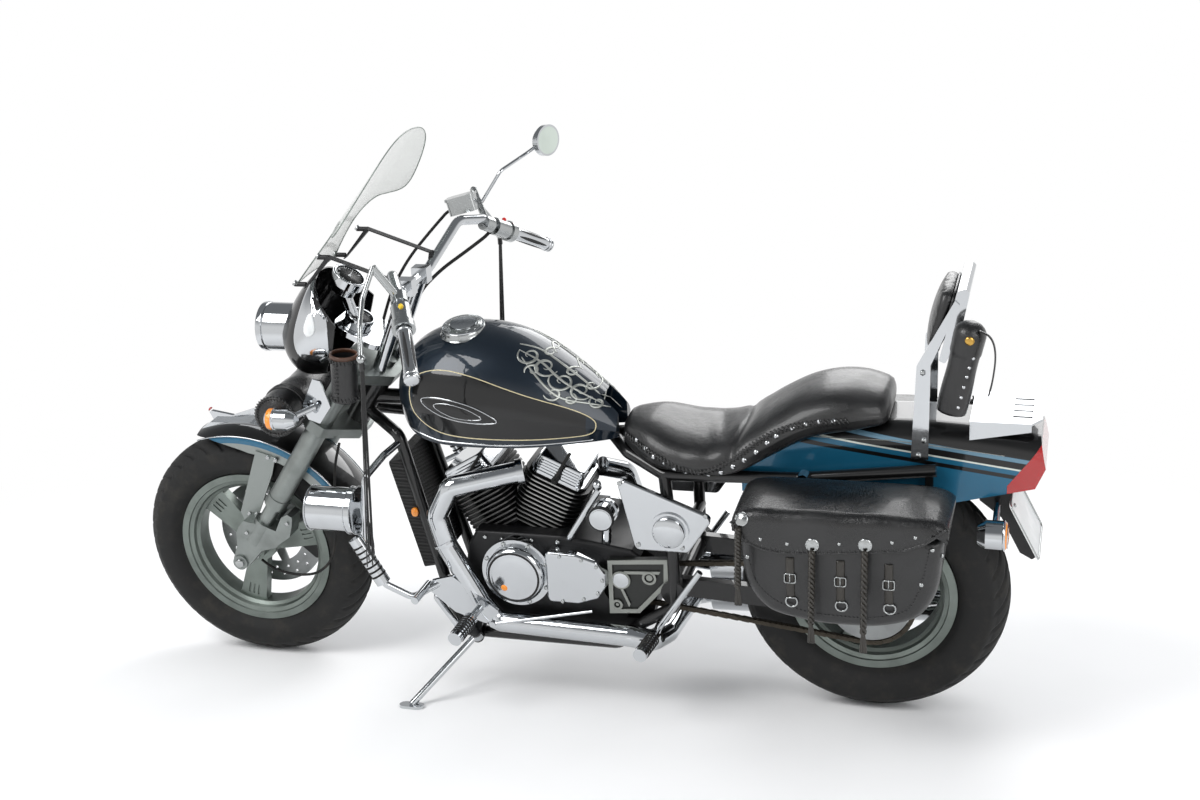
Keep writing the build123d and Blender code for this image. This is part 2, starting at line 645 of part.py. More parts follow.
# flat black straps along the screen, bolted through it and clamped to the bar
STRAP_LOW = (front(272, 120, 774), front(342, 120, 844))
with BuildPart() as screen_straps:
    for hand in BOTH:
        for bolt in STRAP_LOW:
            rod((bolt[0] - 14, hand * bolt[1], bolt[2]), (bolt[0] + 16, hand * bolt[1], bolt[2]), 6)
        low, high = STRAP_LOW
        outline = [
            (low[0] + 12, low[2] - 8), (low[0] + 16, low[2] - 8), (high[0] + 20, high[2] - 2),
            (BAR_MIDDLE[0] + 4, BAR_MIDDLE[2] + 34), (BAR_MIDDLE[0], BAR_MIDDLE[2] + 38), (high[0] + 12, high[2] + 4),
        ]
        plate(outline, *across(hand, 120 - STRAP_W / 2, 120 + STRAP_W / 2))
        plate(
            [(BAR_MIDDLE[0] - 6, BAR_MIDDLE[2] + 8), (BAR_MIDDLE[0] + 12, BAR_MIDDLE[2] + 8),
             (BAR_MIDDLE[0] + 6, BAR_MIDDLE[2] + 38), (BAR_MIDDLE[0], BAR_MIDDLE[2] + 38)],
            *across(hand, 120 - STRAP_W / 2, 120 + STRAP_W / 2),
        )
    clear_of(windscreen, cowl, handlebar)
keep(screen_straps, "screen_straps")

# ---------------------------------------------------------------------------------------------
# Leather roll, cup and small lamps on the fork
# ---------------------------------------------------------------------------------------------
ROLL_CENTRE = front(176, 0, 437)
with BuildPart() as tool_roll:
    disc((ROLL_CENTRE[0], ROLL_CENTRE[2]), ROLL_R, -ROLL_HALF, ROLL_HALF)
keep(tool_roll, "tool_roll")

CUP_TOP = front(392, -178, 620)
CUP_LOW = front(382, -178, 500)
with BuildPart() as leather_cup:
    rod(CUP_LOW, CUP_TOP, CUP_R)
    floor = Vector(*CUP_LOW) + (Vector(*CUP_TOP) - Vector(*CUP_LOW)).normalized() * CUP_WALL
    rod(tuple(floor), CUP_TOP, CUP_R - CUP_WALL, mode=Mode.SUBTRACT)
keep(leather_cup, "leather_cup")

SMALL_LAMP_Y = 205.0
SMALL_LAMP_R = 26.0
with BuildPart() as front_lamps:
    for hand in BOTH:
        y = hand * SMALL_LAMP_Y
        rod(front(192, y, 450), front(236, y, 450), SMALL_LAMP_R)
        nose = Plane(origin=front(192, y, 450), z_dir=(-1, 0, 0))
        with BuildSketch(nose) as section:
            Circle(SMALL_LAMP_R)
        extrude(section.sketch, amount=16, taper=30)
        with BuildSketch(Plane(origin=front(236, y, 450), z_dir=(1, 0, 0))) as section:
            Circle(SMALL_LAMP_R)
        extrude(section.sketch, amount=20, taper=28)
        rod(front(232, y, 450), front(290, hand * 162, 470), 8)
        rod(front(290, hand * 162, 470), fork_point(-10, hand * LEG_Y, LOWER_CLAMP + 6), 8)
    # a chrome bracket from the lower clamp round both ends of the roll
    for hand in BOTH:
        bracket = ((248, 462), (286, 538), (306, 534), (326, 466), (292, 420), (262, 430))
        plate([front(x, z) for x, z in bracket], *across(hand, LEG_Y + 40, LEG_Y + 46))
        rod(front(290, hand * (LEG_Y + 42), 470), fork_point(0, hand * LEG_Y, LOWER_CLAMP), 9)
    clear_of(fork_clamps, fork_tubes, tool_roll, cowl)
keep(front_lamps, "front_lamps")

# brake hose, throttle cable and speedometer cable: radius and route of each
CABLES = (
    (4.0, (front(532, 330, 842), front(500, 322, 838), front(455, 300, 790), front(404, 250, 728),
           front(372, 196, 660), front(352, 168, 590), front(330, 160, 520), front(290, 156, 450))),
    (4.5, (front(620, 336, 796), front(600, 318, 772), front(556, 276, 742), front(503, 226, 708),
           front(462, 176, 668), front(440, 150, 610))),
    (3.5, (front(30, -72, -20), front(62, -84, -34), front(100, -90, -42), front(146, -92, -46),
           front(196, -92, -38), front(236, -91, -6), front(258, -90, 44), front(266, -90, 104),
           front(274, -92, 172), front(282, -94, 234), front(292, -96, 290), front(312, -100, 346))),
)


def soft_bends(points):
    """Each corner's arc as large as its two runs allow."""
    radii = []
    for before, corner, after in zip(points, points[1:], points[2:]):
        first, second = Vector(*corner) - Vector(*before), Vector(*after) - Vector(*corner)
        turn = radians(first.get_angle(second))
        radii.append(0.45 * min(first.length, second.length) / tan(turn / 2))
    return radii


with BuildPart() as cables:
    for radius, points in CABLES:
        tube(points, radius, soft_bends(points))
    clear_of(fork_clamps, fork_tubes, fork_sliders, handlebar, bar_controls, gauges, front_lamps, cowl)
keep(cables, "cables")
print("cable arcs", [round(min(soft_bends(points))) for radius, points in CABLES])

# ---------------------------------------------------------------------------------------------
# Frame
# ---------------------------------------------------------------------------------------------
# the side stand's hinge: its axis is square to the leg both down and folded back
STAND_PIVOT = middle(-115, STAND_PIVOT_Y, STAND_PIVOT_Z)
upright_ground = Location((0, 0, CROWN)) * Location((0, 0, 0), (-LEAN, 0, 0)) * Location((0, 0, -CROWN))
foot = upright_ground * Pos(CRANK_X - STAND_FOOT_AHEAD, STAND_FOOT_Y, 0)
foot_plane = Plane(foot)
FOOT_T = 7.0
leg_end = foot_plane.from_local_coords(Vector(0, 0, FOOT_T))
foot_point = tuple(foot.position)
leg_out = (foot.position - Vector(*STAND_PIVOT)).normalized()
STAND_AXIS = leg_out.cross(STAND_TUCKED.normalized()).normalized()

SWING_PIVOT = middle(PIVOT_BEHIND, PIVOT_Z)
head_low = fork_point(FORK_OFFSET, 0, HEAD_LOW)
head_high = fork_point(FORK_OFFSET, 0, HEAD_HIGH)
down_top = fork_point(183, 80, 569)
down_low = middle(-195, 98, 240)
with BuildPart() as frame:
    rod(head_low, head_high, HEAD_R)
    tube(
        [fork_point(FORK_OFFSET, 0, 570), fork_point(142, 0, 628), middle(-210, 0, SPINE_Z),
         middle(-10, 0, SPINE_Z), middle(240, 0, 690)],
        SPINE_R, 60,
    )
    for hand in BOTH:
        tube(
            [
                fork_point(FORK_OFFSET, 0, 535), (down_top[0], hand * down_top[1], down_top[2]),
                (down_low[0], hand * down_low[1], down_low[2]), middle(-170, hand * RAIL_Y, LOW_RAIL_Z),
                middle(250, hand * RAIL_Y, LOW_RAIL_Z), middle(328, hand * PIVOT_RAIL_Y, 252),
                middle(410, hand * PIVOT_RAIL_Y, 302), middle(410, hand * PIVOT_RAIL_Y, 500), middle(390, hand * SUBFRAME_Y, 640),
            ],
            RAIL_R, 30,
        )
        tube(
            [
                middle(230, 0, 694), middle(290, hand * 70, 672), middle(390, hand * SUBFRAME_Y, 640),
                rear(-165, hand * SUBFRAME_Y, 650), rear(155, hand * SUBFRAME_Y, 690),
            ],
            RAIL_R, 25,
        )
        disc(SWING_PIVOT, 30, *across(hand, ARM_INNER + ARM_T + GAP, PIVOT_RAIL_Y + 12))
        # brackets that carry the saddlebags
        for x, rail_z in (rear(-205, 648), rear(140, 688)):
            near, far = across(hand, SUBFRAME_Y - 8, SUBFRAME_Y + 8)
            block((x - 9, near, BAG_TOP_Z - 40), (x + 9, far, rail_z))
            near, far = across(hand, SUBFRAME_Y, BAG_INNER_Y - GAP)
            block((x - 9, near, BAG_TOP_Z - 40), (x + 9, far, BAG_TOP_Z - 15))
    for x, y, z in (middle(-185, 100, 200), middle(244, RAIL_Y, LOW_RAIL_Z), middle(413, PIVOT_RAIL_Y, 440), middle(390, SUBFRAME_Y, 640)):
        rod((x, -y, z), (x, y, z), RAIL_R - 1)
    rod(head_low, head_high, STEM_R + RUNNING, mode=Mode.SUBTRACT)
    # two lugs and the pin that carry the side stand
    pivot = Vector(*STAND_PIVOT)
    inward = Vector(STAND_PIVOT[0], -RAIL_Y, LOW_RAIL_Z) - pivot
    inward = (inward - STAND_AXIS * inward.dot(STAND_AXIS)).normalized()
    lug_start = STAND_BOSS_HALF + GAP
    for way in BOTH:
        near = pivot + STAND_AXIS * (way * lug_start)
        far = pivot + STAND_AXIS * (way * (lug_start + LUG_T))
        rod(tuple(near), tuple(far), STAND_BOSS_R)
        with BuildSketch(Plane(origin=near, x_dir=inward, z_dir=STAND_AXIS * way)) as section:
            with Locations((LUG_REACH / 2, 0)):
                Rectangle(LUG_REACH, 2 * STAND_BOSS_R)
        extrude(section.sketch, amount=LUG_T)
        rod(tuple(pivot), tuple(far), STAND_PIN_R)
    heel = pivot + inward * (LUG_REACH - 10)
    reach = lug_start + LUG_T
    rod(tuple(heel - STAND_AXIS * (reach + 14)), tuple(heel + STAND_AXIS * reach), 8)
keep(frame, "frame")

# ---------------------------------------------------------------------------------------------
# Engine
# ---------------------------------------------------------------------------------------------
COUNTERSHAFT = middle(282, 335)
CYLINDERS = (-FRONT_CYLINDER_LEAN, REAR_CYLINDER_LEAN)
FINS_START = BARREL_START + 14
HEAD_START = FINS_START + FIN_COUNT * FIN_PITCH
SPLIT_LEAN = (REAR_CYLINDER_LEAN - FRONT_CYLINDER_LEAN) / 2


def cylinder_plane(lean, distance):
    """A plane across a cylinder, at a distance from the crankshaft; its x runs across the machine."""
    base = Plane(
        origin=middle(0, 0, CRANK_Z), x_dir=(0, 1, 0), z_dir=(sin(radians(lean)), 0, cos(radians(lean)))
    )
    return base.offset(distance)


def own_side(lean):
    """Keep a cylinder on its own side of the V."""
    normal = (cos(radians(SPLIT_LEAN)), 0, -sin(radians(SPLIT_LEAN)))
    middle_plane = Plane(origin=middle(0, 0, CRANK_Z), z_dir=normal).offset(GAP if lean > 0 else -GAP)
    split(bisect_by=middle_plane, keep=Keep.TOP if lean > 0 else Keep.BOTTOM)


barrels = []
for lean in CYLINDERS:
    with BuildPart() as barrel:
        with BuildSketch(cylinder_plane(lean, BARREL_START)) as section:
            Circle(BARREL_R)
        extrude(section.sketch, amount=HEAD_START - BARREL_START)
        for fin in range(FIN_COUNT):
            with BuildSketch(cylinder_plane(lean, FINS_START + fin * FIN_PITCH)) as section:
                RectangleRounded(FIN_WIDTH, FIN_WIDTH, 44)
            extrude(section.sketch, amount=FIN_T)
        with BuildSketch(cylinder_plane(lean, HEAD_START - FIN_PITCH)) as section:
            RectangleRounded(FIN_WIDTH - 20, FIN_WIDTH - 20, 36)
        extrude(section.sketch, amount=FIN_PITCH)
        own_side(lean)
    barrels.append(barrel)

with BuildPart() as cylinders:
    for barrel in barrels:
        add(barrel.part)
keep(cylinders, "cylinders")

covers = []
for lean in CYLINDERS:
    with BuildPart() as cover:
        with BuildSketch(cylinder_plane(lean, HEAD_START)) as section:
            RectangleRounded(ROCKER_WIDTH, ROCKER_LENGTH, 20)
        extrude(section.sketch, amount=8)
        with BuildSketch(cylinder_plane(lean, HEAD_START + 8)) as section:
            RectangleRounded(ROCKER_WIDTH - 10, ROCKER_LENGTH - 10, 18)
        extrude(section.sketch, amount=ROCKER_H - 8, taper=9)
        top = cover.faces().sort_by(Axis(middle(0, 0, CRANK_Z), cylinder_plane(lean, 0).z_dir))[-1]
        fillet(top.edges(), 6)
        for rib in range(4):
            with BuildSketch(cylinder_plane(lean, HEAD_START + 13 + 7 * rib)) as section:
                RectangleRounded(ROCKER_WIDTH - 6 - 2.2 * rib, ROCKER_LENGTH - 18 - 2.2 * rib, 14)
            extrude(section.sketch, amount=2.5)
        own_side(lean)
    covers.append(cover)

with BuildPart() as rocker_covers:
    for cover in covers:
        add(cover.part)
keep(rocker_covers, "rocker_covers")

CASE_OUTLINE = (
    (-128, 262), (-96, 205), (-60, 192), (290, 190), (335, 232), (350, 300), (346, 402), (300, 436),
    (200, 452), (120, 462), (-100, 462), (-126, 420), (-136, 360),
)
CHAIN_ROOM = CHAIN_Y + CHAIN_T / 2 + 4  # the case stands back behind the chain
with BuildPart() as crankcase:
    plate([middle(x, z) for x, z in CASE_OUTLINE], -CASE_HALF, CASE_HALF)
    sides = crankcase.faces().filter_by(Axis.Y)
    fillet([edge for face in sides for edge in face.edges()], 9)
    for lean in CYLINDERS:
        with BuildSketch(cylinder_plane(lean, BARREL_START)) as section:
            RectangleRounded(FIN_WIDTH + 3, FIN_WIDTH + 3, 44)
        extrude(section.sketch, amount=HEAD_START - BARREL_START, mode=Mode.SUBTRACT)
    disc(COUNTERSHAFT, SMALL_SPROCKET_R + CHAIN_H + 6, -CASE_HALF, CHAIN_ROOM, Mode.SUBTRACT)
    block((COUNTERSHAFT[0], -CASE_HALF, 250), (CRANK_X + 370, CHAIN_ROOM, 420), Mode.SUBTRACT)
    disc(COUNTERSHAFT, SMALL_SPROCKET_R, CHAIN_Y - SPROCKET_T / 2, CHAIN_Y + SPROCKET_T / 2)
    disc(COUNTERSHAFT, 14, CHAIN_Y, CHAIN_ROOM + 10)
    disc(SWING_PIVOT, PIVOT_TUBE_R + 8, -CASE_HALF, CASE_HALF, Mode.SUBTRACT)
    clear_of(frame, cylinders)
keep(crankcase, "crankcase")

# bright covers on both sides: round, long with a rounded end, filler cap and elbow pipe
LONG_COVER = ((90, 300), (170, 300), (222, 318), (243, 352), (243, 388), (222, 420), (170, 436), (90, 440))
with BuildPart() as engine_covers:
    for hand in BOTH:
        round_centre = middle(9, 0, 367)
        dome = Plane(
            origin=(round_centre[0], hand * CASE_HALF, round_centre[2]), x_dir=(1, 0, 0), z_dir=(0, hand, 0)
        )
        with BuildSketch(dome) as section:
            Circle(ROUND_COVER_R + 14)
        extrude(section.sketch, amount=ROUND_COVER_OUT - 26)
        with BuildSketch(dome.offset(ROUND_COVER_OUT - 26)) as section:
            Circle(ROUND_COVER_R)
        extrude(section.sketch, amount=26)
        rim = engine_covers.edges().filter_by(GeomType.CIRCLE)
        fillet([edge for edge in rim if abs(abs(edge.center().Y) - CASE_HALF - ROUND_COVER_OUT) < 1
                and edge.center().Y * hand > 0], 18)
        rounded_plate(
            [middle(x, z) for x, z in LONG_COVER], 14, *across(hand, CASE_HALF, CASE_HALF + LONG_COVER_OUT)
        )
    ends = engine_covers.faces().filter_by(Axis.Y)
    ends = [face for face in ends if abs(abs(face.center().Y) - CASE_HALF - LONG_COVER_OUT) < 1]
    fillet([edge for face in ends for edge in face.outer_wire().edges()], 8)
    cap = middle(237, 0, 531)
    disc((cap[0], cap[2]), 28, -PIPE_Y + 6, -CASE_HALF + 20)
    disc((cap[0], cap[2]), 31, -CASE_HALF + 14, -CASE_HALF + 26)
    rod((cap[0], -CASE_HALF + 24, cap[2]), middle(232, -CASE_HALF + 24, 440), 12)
    tube([middle(228, -CASE_HALF - 8, 596), middle(206, -CASE_HALF - 18, 560), middle(150, -CASE_HALF - 18, 470),
          middle(146, -CASE_HALF + 12, 452)], 8, 12)
    clear_of(crankcase, cylinders, rocker_covers, frame)
keep(engine_covers, "engine_covers")

# cast cover over the countershaft sprocket, with raised ribs and rings
SPROCKET_COVER = ((244, 415), (397, 428), (394, 360), (319, 276), (242, 269))
COVER_RIBS = (((280, 380), (372, 386)), ((268, 350), (292, 290)))
COVER_RINGS = ((275, 363, 24), (347, 374, 18), (262, 294, 14))
RIB_H = 6.0
with BuildPart() as sprocket_cover:
    low, high = -CASE_HALF - SPROCKET_COVER_OUT, -CASE_HALF - GAP
    outline = [middle(x, z) for x, z in SPROCKET_COVER]
    plate(outline, low + RIB_H, high)
    with BuildSketch(Plane.XZ.offset(-low - RIB_H)) as border:
        Polygon(*outline, align=None)
        offset(amount=-11, mode=Mode.SUBTRACT)
    extrude(border.sketch, amount=RIB_H)
    for start, end in COVER_RIBS:
        start_x, start_z = middle(*start)
        end_x, end_z = middle(*end)
        plate(
            [(start_x, start_z), (end_x, end_z), (end_x + 4, end_z + 8), (start_x + 4, start_z + 8)],
            low + 1, low + RIB_H + 1,
        )
    for x, z, radius in COVER_RINGS:
        disc(middle(x, z), radius, low, low + RIB_H + 2)
        disc(middle(x, z), radius - 6, low - 1, low + RIB_H, Mode.SUBTRACT)
        disc(middle(x, z), radius - 10, low + 2, low + RIB_H + 2)
    clear_of(frame, engine_covers)
keep(sprocket_cover, "sprocket_cover")

# the radiator lies against the front of the down tubes
tube_run = Vector(*down_low) - Vector(down_top[0], down_low[1], down_top[2])
fall = tube_run.normalized()
facing = Vector(fall.Z, 0, -fall.X)
radiator_middle = (down_top[0] + down_low[0]) / 2, (down_top[2] + down_low[2]) / 2
with BuildPart() as radiator:
    core = Plane(
        origin=Vector(radiator_middle[0], 0, radiator_middle[1] + 20) + facing * (RAIL_R + GAP),
        x_dir=(0, 1, 0), z_dir=facing,
    )
    with BuildSketch(core) as section:
        RectangleRounded(RADIATOR_W, RADIATOR_H, 8)
    extrude(section.sketch, amount=RADIATOR_T)
    clear_of(frame)
keep(radiator, "radiator")

MUFFLER_Y = 194.0
MUFFLER_START = 430.0  # behind the crankshaft
with BuildPart() as mufflers:
    for start, end in (
        (middle(MUFFLER_START, MUFFLER_Y, 250), rear(300, MUFFLER_Y, 283)),
        (middle(MUFFLER_START, MUFFLER_Y, 160), rear(235, MUFFLER_Y, 180)),
    ):
        rod(start, end, MUFFLER_R)
        run = (Vector(*end) - Vector(*start)).normalized()
        rod(tuple(Vector(*end) - run * 60), end, MUFFLER_R - 8, mode=Mode.SUBTRACT)
        rod(start, tuple(Vector(*start) + run * 30), PIPE_R, mode=Mode.SUBTRACT)
        rod(tuple(Vector(*end) - run * 120), tuple(Vector(*end) - run * 112), MUFFLER_R + 3)
    block((WHEELBASE - 100, MUFFLER_Y - 9, 208), (WHEELBASE - 60, MUFFLER_Y + 9, 248))
keep(mufflers, "mufflers")

LEFT_PIPE = (
    (30, -104, 622), (-143, -PIPE_Y + 2, 595), (-184, -PIPE_Y, 517), (-165, -PIPE_Y, 435), (-87, -PIPE_Y, 281),
    (-44, -PIPE_Y, 232), (300, -PIPE_Y - 10, 226), (352, -PIPE_Y - 4, 214), (374, -100, 200), (378, 0, 190),
    (384, 150, 172), (MUFFLER_START - 15, MUFFLER_Y, 160), (MUFFLER_START + 25, MUFFLER_Y, 160.6),
)
RIGHT_PIPE = (
    (175, 84, 560), (220, 150, 520), (240, PIPE_Y + 22, 400), (300, PIPE_Y + 26, 262),
    (MUFFLER_START + 25, MUFFLER_Y, 251),
)
with BuildPart() as exhaust_pipes:
    tube([middle(*point) for point in LEFT_PIPE], PIPE_R, 28)
    tube([middle(*point) for point in RIGHT_PIPE], PIPE_R - 2, 40)
    # clamp ring at the head and the joint half way down
    rod(middle(30, -104, 622), middle(14, -110, 620), PIPE_R + 5)
    rod(middle(-171, -PIPE_Y, 447), middle(-168, -PIPE_Y, 441), PIPE_R + 3)
    clear_of(mufflers, rocker_covers, cylinders, engine_covers, crankcase, frame)
keep(exhaust_pipes, "exhaust_pipes")

# ---------------------------------------------------------------------------------------------
# Tank, seat, covers
# ---------------------------------------------------------------------------------------------
NOSE_BEHIND = 67.0  # tank's nose behind the steering axis at the upper clamp
TANK_FRONT_X = fork_point(FORK_OFFSET, 0, 649)[0] + NOSE_BEHIND
TUNNEL_TOP = SPINE_Z + SPINE_R + GAP
# tank sections: share of its length, share of its half width, bottom, top
TANK_SECTIONS = (
    (0.0, 0.42, 762, 860), (0.05, 0.68, 722, 904), (0.15, 0.91, 700, 944), (0.33, 1.0, 692, 969),
    (0.54, 0.96, 692, 955), (0.76, 0.78, 696, 886), (0.92, 0.56, 700, 812), (1.0, 0.42, 704, 765),
)
with BuildPart() as fuel_tank:
    faces = []
    for share, width, low, high in TANK_SECTIONS:
        half = TANK_HALF * width
        place = Plane(origin=(TANK_FRONT_X + TANK_LENGTH * share, 0, 0), x_dir=(0, 1, 0), z_dir=(1, 0, 0))
        with BuildSketch(place) as section:
            waist = low + (high - low) * 0.34
            shoulder = low + (high - low) * 0.80
            with BuildLine():
                Line((-half * 0.82, low), (half * 0.82, low))
                Line((half * 0.82, low), (half, waist))
                ThreePointArc((half, waist), (half * 0.72, shoulder), (0, high))
                ThreePointArc((0, high), (-half * 0.72, shoulder), (-half, waist))
                Line((-half, waist), (-half * 0.82, low))
            make_face()
        faces.append(section.sketch)
    loft(faces)
    block(
        (TANK_FRONT_X - 30, -TUNNEL_HALF, 600), (TANK_FRONT_X + TANK_LENGTH + 30, TUNNEL_HALF, TUNNEL_TOP),
        mode=Mode.SUBTRACT,
    )
    clear_of(frame)
keep(fuel_tank, "fuel_tank")

with BuildPart() as fuel_cap:
    cap_place = Plane(
        origin=(TANK_FRONT_X + 0.31 * TANK_LENGTH, -26, 950), x_dir=(1, 0, 0.02), z_dir=(-0.02, -0.16, 1)
    )
    with BuildSketch(cap_place) as section:
        Circle(CAP_R)
    extrude(section.sketch, amount=22)
    with BuildSketch(cap_place.offset(22)) as section:
        Circle(CAP_R * 0.62)
    extrude(section.sketch, amount=5)
    clear_of(fuel_tank)
keep(fuel_cap, "fuel_cap")

# the rear fender's outer form: arched along the top, open below, its upper edges rounded
FENDER_OUT = SUBFRAME_Y - RAIL_R - GAP
FENDER_FRONT = (-300, 735)
FENDER_TOP = (5, 785)
FENDER_END = (383, 764)
UNDERSIDE = ((396, 700), (374, 650), (186, 602), (-300, 602))


def fender_form(inset):
    """The whole outer form as one solid, or the same form smaller all round by an inset."""
    with BuildPart() as form:
        with BuildSketch(Plane.XZ.offset(-FENDER_OUT + inset)) as section:
            with BuildLine():
                ThreePointArc(rear(*FENDER_FRONT), rear(*FENDER_TOP), rear(*FENDER_END))
                Polyline(rear(*FENDER_END), *[rear(x, z) for x, z in UNDERSIDE], rear(*FENDER_FRONT))
            make_face()
            if inset:
                offset(amount=-inset)
        extrude(section.sketch, amount=2 * (FENDER_OUT - inset))
        fillet(form.edges().filter_by(GeomType.CIRCLE), REAR_FENDER_ROUND - inset)
    return form


outer_form = fender_form(0)
inner_form = fender_form(REAR_FENDER_T)
LIGHT_CUT = ((312, 560), (312, 654), (386, 754), (440, 754), (440, 560))
with BuildPart() as rear_fender:
    add(outer_form.part)
    add(inner_form.part, mode=Mode.SUBTRACT)
    block(
        (WHEELBASE - 400, -FENDER_OUT + REAR_FENDER_T, 560), (WHEELBASE + 186, FENDER_OUT - REAR_FENDER_T, 610),
        Mode.SUBTRACT,
    )
    plate([rear(x, z) for x, z in LIGHT_CUT], -FENDER_OUT - 10, FENDER_OUT + 10, Mode.SUBTRACT)
keep(rear_fender, "rear_fender")

with BuildPart() as tail_light:
    add(outer_form.part)
    lens = ((312.4, 600), (312.4, 654), (386.3, 754), (440, 754), (440, 600))
    with BuildSketch(Plane.XZ.offset(-FENDER_OUT - 10)) as section:
        Polygon(*[rear(x, z) for x, z in lens], align=None)
    extrude(section.sketch, amount=2 * FENDER_OUT + 20, mode=Mode.INTERSECT)
    clear_of(rear_fender)
keep(tail_light, "tail_light")

# seat sections: share of its length, half width, low, high
SEAT_FRONT_X = CRANK_X + 275
SEAT_REAR_X = WHEELBASE + 45
SEAT_SECTIONS = (
    (0.0, 68, 694, 752), (0.116, 122, 654, 757), (0.271, 150, 652, 737), (0.457, 150, 658, 752),
    (0.581, 140, 700, 808), (0.705, 135, 745, 850), (0.891, 125, 770, 866), (1.0, 104, 782, 852),
)
with BuildPart() as seat:
    faces = []
    for share, half, low, high in SEAT_SECTIONS:
        x = SEAT_FRONT_X + (SEAT_REAR_X - SEAT_FRONT_X) * share
        edge = low + (high - low) * 0.42
        with BuildSketch(Plane(origin=(x, 0, 0), x_dir=(0, 1, 0), z_dir=(1, 0, 0))) as section:
            with BuildLine():
                Line((-half * 0.86, low), (half * 0.86, low))
                Line((half * 0.86, low), (half, edge))
                ThreePointArc((half, edge), (half * 0.62, low + (high - low) * 0.88), (0, high))
                ThreePointArc((0, high), (-half * 0.62, low + (high - low) * 0.88), (-half, edge))
                Line((-half, edge), (-half * 0.86, low))
            make_face()
        faces.append(section.sketch)
    loft(faces)
    clear_of(frame, outer_form, fuel_tank)
keep(seat, "seat")

COVER_Y = PIVOT_RAIL_Y + RAIL_R + GAP
with BuildPart() as side_covers:
    for hand in BOTH:
        rounded_plate(
            [middle(285, 655), middle(520, 560), middle(455, 465), middle(325, 465)], 16,
            *across(hand, COVER_Y, COVER_Y + 14),
        )
        disc(middle(412, 522), 48, *across(hand, COVER_Y + 14, COVER_Y + 20))
        disc(middle(412, 522), 40, *across(hand, COVER_Y + 20, COVER_Y + 30))
    outer_edges = [
        edge for edge in side_covers.edges() if abs(abs(edge.center().Y) - COVER_Y - 14) < 0.5
        or abs(abs(edge.center().Y) - COVER_Y - 30) < 0.5
    ]
    outer_edges = [edge for edge in outer_edges if edge.length > 5 and not (
        edge.geom_type == GeomType.CIRCLE and abs(edge.radius - 48) < 1)]
    fillet(outer_edges, 5)
    clear_of(frame)
keep(side_covers, "side_covers")

# ---------------------------------------------------------------------------------------------
# Rear suspension and drive
# ---------------------------------------------------------------------------------------------
SHOCK_Y = ARM_INNER + ARM_T + SHOCK_R + 3
with BuildPart() as swingarm:
    disc(SWING_PIVOT, PIVOT_TUBE_R, -ARM_INNER - ARM_T, ARM_INNER + ARM_T)
    pivot_x, pivot_z = SWING_PIVOT
    for hand in BOTH:
        plate(
            [
                (pivot_x - 12, pivot_z + 26), (pivot_x - 18, pivot_z - 20), rear(-45, REAR_TYRE_R - 27),
                rear(45, REAR_TYRE_R - 27), rear(45, REAR_TYRE_R + 27), rear(-45, REAR_TYRE_R + 27),
            ],
            *across(hand, ARM_INNER, ARM_INNER + ARM_T),
        )
        disc(rear(-70, REAR_TYRE_R + 27), 11, *across(hand, ARM_INNER + ARM_T - 2, SHOCK_Y + 8))
    disc(rear_centre, REAR_AXLE_R, -ARM_INNER - ARM_T - 16, ARM_INNER + ARM_T + 16)
    disc(rear_centre, 16, REAR_HUB_HALF + GAP, ARM_INNER)
    disc(rear_centre, 16, -ARM_INNER, CHAIN_Y - SPROCKET_T / 2 - GAP)
keep(swingarm, "swingarm")

with BuildPart() as shock_absorbers:
    for hand in BOTH:
        low = Vector(*rear(-70, hand * SHOCK_Y, REAR_TYRE_R + 27))
        high = Vector(*rear(-145, hand * SHOCK_Y, 668))
        run = high - low
        lower_cup, spring_top = low + run * 0.14, low + run * 0.88
        rod(tuple(low), tuple(lower_cup), 10)
        rod(tuple(lower_cup), tuple(low + run * 0.46), SHOCK_R - 5)
        rod(tuple(low + run * 0.46), tuple(spring_top), SHOCK_R)
        rod(tuple(spring_top), tuple(high), 8)
        disc((high.X, high.Z), 13, *across(hand, SUBFRAME_Y + RAIL_R + GAP, SHOCK_Y + 9))
    clear_of(frame, swingarm)
keep(shock_absorbers, "shock_absorbers")

with BuildPart() as drive_chain:
    for grow, mode in ((CHAIN_H, Mode.ADD), (0, Mode.SUBTRACT)):
        with BuildSketch(Plane.XZ.offset(-CHAIN_Y - CHAIN_T / 2)) as section:
            with Locations(rear_centre):
                Circle(SPROCKET_R + GAP + grow)
            with Locations(COUNTERSHAFT):
                Circle(SMALL_SPROCKET_R + GAP + grow)
            make_hull()
        extrude(section.sketch, amount=CHAIN_T, mode=mode)
    clear_of(swingarm)
keep(drive_chain, "drive_chain")

# ---------------------------------------------------------------------------------------------
# Luggage and rear end
# ---------------------------------------------------------------------------------------------
BACKREST_HALF = 100.0
BAR_T = 8.0
with BuildPart() as sissy_bar:
    upright = ((96, 708), (136, 712), (138, 940), (200, 1086), (190, 1096), (108, 940))
    pan = ((156, 952), (170, 946), (200, 1002), (221, 1112), (212, 1122), (194, 1116))
    for hand in BOTH:
        plate([rear(x, z) for x, z in upright], *across(hand, FENDER_OUT + GAP, FENDER_OUT + GAP + BAR_T))
    rounded_plate([rear(x, z) for x, z in pan], 5, -FENDER_OUT - 3, FENDER_OUT + 3)
    clear_of(frame)
keep(sissy_bar, "sissy_bar")

